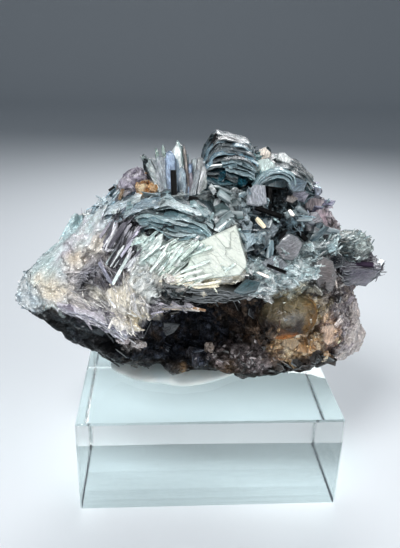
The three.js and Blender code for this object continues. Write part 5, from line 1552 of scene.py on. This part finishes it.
def lumpPieces(finish):
    # balls with each radius changed by slow noise and by two sizes of flat facets
    for index, (name, (middle, half, codes)) in enumerate(lumps.items()):
        ball, faceSets = ballShape(lumpLook["rings"], lumpLook["sides"])
        spread = ball * half
        size = min(half) / lumpLook["usual"]
        numbers, ways, _ = nearestCentres(spread, lumpLook["facets"] * size, 81 + index, 5)
        fine, _, _ = nearestCentres(spread, lumpLook["fineFacets"] * size, 91 + index, 5)
        swell = softNoise(spread, lumpLook["swell"] * size, 84 + index)
        heights = np.stack([swell, numbers[:, 0] - 0.5, fine[:, 0] - 0.5])
        tilt = ((numbers[:, 1:4] - 0.5) * ways).sum(1)
        push = size * (lumpLook["pushes"] @ heights) + lumpLook["tilt"] * tilt
        palette = paints(codes)
        tint = sum(0.5 * palette[(each[:, 4] * len(palette)).astype(int)] for each in (numbers, fine))
        makePiece(f"lump_{name}", spread + ball * push[:, None] + middle, faceSets, finish,
                  {"tint": tint, "grain": spread * lumpLook["grain"]})


def amberPiece():
    # a ball with each radius changed by slow noise and by wide facets, tinted by where it faces, with painted
    # light on its top, a painted glow and a painted highlight
    ball, faceSets = ballShape(amber["rings"], amber["sides"])
    spread = ball * amber["half"]
    numbers, ways, _ = nearestCentres(spread, *amber["facets"], 4)
    heights = np.stack([softNoise(spread, *amber["swell"]), numbers[:, 0] - 0.5,
                        ((numbers[:, 1:] - 0.5) * ways).sum(1)])
    corners = spread * (1 + amber["pushes"] @ heights)[:, None] + amber["middle"]
    up, right = ball[:, 2:], ball[:, :1]
    mottle = softNoise(corners, *amber["mottle"])[:, None]
    # painted light and shade: a lit top, a glow low down and a grey highlight in the middle, each by where
    # the corner faces
    shares = {
        "top": up * 1.6 + 0.1 + 0.5 * mottle,
        "grey": 0.9 - 2.6 * np.abs(up - 0.3) - 1.8 * np.abs(right - 0.05) + 0.4 * mottle,
        "glow": 1.3 - 3 * np.abs(up + 0.55) - 2 * np.abs(right + 0.1) + 0.5 * mottle,
        "right": right * 2.2 - 0.9 + 0.6 * mottle,
    }
    tint = paint(amber["belly"]) * np.ones((len(ball), 1))
    for name, share in shares.items():
        share = np.clip(share, 0, 1)
        tint = tint * (1 - share) + paint(amber[name]) * share
    finish = Finish("honey crystal")
    where = finish.node("ShaderNodeTexCoord", "Object")
    mottled = finish.noise(where, 700, 4, 0.65)
    pale = finish.veins(where, 420, 12)
    shade = (0.3 + 1.3 * mottled) * (1.0 + 0.5 * pale)
    made = finish.shine(
        Base_Color=finish.shaded(finish.attribute("tint"), shade), Roughness=0.55 - 0.4 * mottled,
        IOR=1.6, Transmission_Weight=0.08, Coat_Weight=0.2, Coat_Roughness=0.12,
        Subsurface_Weight=0.25, Subsurface_Radius=(1.0, 0.6, 0.3), Subsurface_Scale=0.002,
        Normal=finish.bumped(mottled + pale * 0.3, 0.8, 0.0008))
    makePiece("honey_knob", corners, faceSets, made, {"tint": tint})


def rodFinish():
    # almost black, grooved lengthways
    finish = Finish("black rod")
    groove = finish.noise(finish.turned(finish.attribute("grain", "Vector"), (7.0, 0.3, 1.0)), 1.0, 3, 0.6)
    return finish.shine(Base_Color=finish.mixed(groove, (0.001, 0.001, 0.0012), finish.attribute("tint")),
                        Roughness=0.2 + 0.2 * groove, IOR=1.3, Normal=finish.bumped(groove, 0.6, 0.0002))


def singleCrystals():
    # everything that has a place of its own on the rock
    random = np.random.default_rng(3)
    facing = (0.1, -0.8, 0.5)
    batch = barBatch(list(bars.values()) + bundleRows(random), facing)
    crisp = crystalFinish("crisp crystal", 0.2, 0.25, 0.3, comb=0.5)
    grownPiece("laths", "blade", batch, random, 0.02, crisp)
    grownPiece("dark_rods", "rod", barBatch(list(rods.values()), facing), random, 0.01, rodFinish())
    slabPiece(crystalFinish("glassy face", 0.35, 0.2, 0.5, comb=0.6))
    sheetPiece(crystalFinish("thin sheet", 0.2, 0.34, 0.2))
    fanPiece(crystalFinish("clear blade", 0.5, 0.12, 0.5, paintedEdgeShade, 0.5))
    cleavagePiece()
    amberPiece()
    lumpPieces(rockMaterial)
    print("single crystals done")


putty = {
    "middle": (-7.5, 7), "half": (23.5, 14.5), "height": 5.5, "foot": 30.0, "rings": 46, "sides": 140,
    "profile": [(0.86, 0), (0.97, 0.09), (1, 0.24), (0.95, 0.44), (0.8, 0.68), (0.55, 0.88)],
    "waves": [(0.035, 3, 1), (0.025, 5, 2.6), (0.012, 11, 0)],  # height, how many round, where they start
    "folds": [(0.35, 6, 71), (0.12, 1.8, 72)],  # height, size, seed
    "warm": (0.93, 0.97, 0.92), "cool": (0.77, 0.89, 0.93),
}


def puttyPiece():
    # the profile (radius, height), made smooth, turned round an oval that wanders by three sines,
    # with slow folds and fine dimples along its side
    rings, sides, foot = putty["rings"], putty["sides"], putty["foot"]
    profile = smoothLine([(r, h, 0) for r, h in putty["profile"]], rings)[:, :2]
    turn = np.arange(sides)[None] * 2 * np.pi / sides
    wandered = 1 + sum(high * np.sin(count * turn + start) for high, count, start in putty["waves"])
    radius, height = profile[:, :1], np.clip(profile[:, 1:], 0, 1)
    corners = np.stack([putty["middle"][0] + putty["half"][0] * radius * wandered * np.cos(turn),
                        putty["middle"][1] + putty["half"][1] * radius * wandered * np.sin(turn),
                        foot + putty["height"] * height + 0 * turn], -1).reshape(-1, 3)
    away = unit(corners - [*putty["middle"], foot])
    fold = sum(high * softNoise(corners, size, seed) for high, size, seed in putty["folds"])
    corners = corners + away * (fold * np.clip(corners[:, 2] - foot, 0, 1))[:, None]
    points = [(*putty["middle"], foot), (*putty["middle"], foot + putty["height"])]
    finish = Finish("milky putty")
    where = finish.node("ShaderNodeTexCoord", "Object")
    cloud = finish.noise(where, 110, 3, 0.5)
    dimple = finish.noise(where, 900, 3, 0.6)
    made = finish.shine(
        Base_Color=finish.mixed(((cloud - 0.4) * 3).clamped(), putty["warm"], putty["cool"]),
        Roughness=0.3 + 0.2 * dimple, Coat_Weight=0.4, Coat_Roughness=0.12,
        Subsurface_Weight=0.4, Subsurface_Radius=evenly, Subsurface_Scale=0.003,
        Normal=finish.bumped(dimple, 0.25, 0.0004))
    piece = makePiece("putty", np.concatenate([corners, points]), pointedFaces(rings, sides), made,
                      smooth=True)
    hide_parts("putty_pad")


clearBlock = {"index": 1.49, "clean": (0.975, 0.99, 0.985), "smeared": (0.95, 0.975, 0.97),
              "shadow": (0.9, 0.95, 0.945)}


def blockFinish():
    # clear plastic with hair scratches and faint smears, kept on the CAD's own block
    finish = Finish("clear acrylic")
    where = finish.node("ShaderNodeTexCoord", "Object")
    hairs = finish.noise(finish.turned(where, (9.0, 1.0, 1.0), (0.3, 0.2, 0.8)), 320, 3, 0.7)
    smears = finish.noise(where, 60, 3, 0.6)
    made = finish.shine(
        Base_Color=finish.mixed(smears, clearBlock["clean"], clearBlock["smeared"]),
        Roughness=0.015 + ((hairs - 0.62) * 4).clamped() * 0.25 + smears * 0.04,
        IOR=clearBlock["index"], Transmission_Weight=1.0, Normal=finish.bumped(hairs, 0.05, 0.0002))
    finish.lampsPass(clearBlock["shadow"])
    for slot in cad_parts["display_block"].material_slots:
        slot.material = made


# The floor, in metres, and its grey.
sweep = {"half": 3.0, "front": -3.0, "back": 0.9, "round": 0.5, "top": 1.7, "steps": 48,
         "tone": (0.74, 0.77, 0.8), "rough": 0.6}


def addFloor():
    # flat to the back, then a quarter circle, then upright: (y, z) = (back + round sin t, round (1 - cos t))
    turn = np.linspace(0, np.pi / 2, sweep["steps"])
    y = np.concatenate([[sweep["front"]], sweep["back"] + sweep["round"] * np.sin(turn)])
    z = np.concatenate([[0], sweep["round"] * (1 - np.cos(turn))])
    y, z = np.append(y, y[-1]), np.append(z, sweep["top"])
    corners = np.stack([np.stack([side + 0 * y, y, z], -1) for side in (-sweep["half"], sweep["half"])], 1)
    row = 2 * np.arange(len(y) - 1)
    faces = np.stack([row, row + 1, row + 3, row + 2], -1)
    mesh = bpy.data.meshes.new("floor")
    mesh.from_pydata(corners.reshape(-1, 3).tolist(), [], faces.tolist())
    mesh.polygons.foreach_set("use_smooth", np.ones(len(mesh.polygons), bool))
    mesh.materials.append(Finish("pale floor").shine(Base_Color=sweep["tone"], Roughness=sweep["rough"]))
    floor = newObject("floor", mesh)


addCamera()
addLamps()
addFloor()
print("camera, lamps and floor ready")
rockMaterial = rockFinish()
ground = rockSkin()
crystals(ground)
singleCrystals()
puttyPiece()
blockFinish()
print("putty and block done")
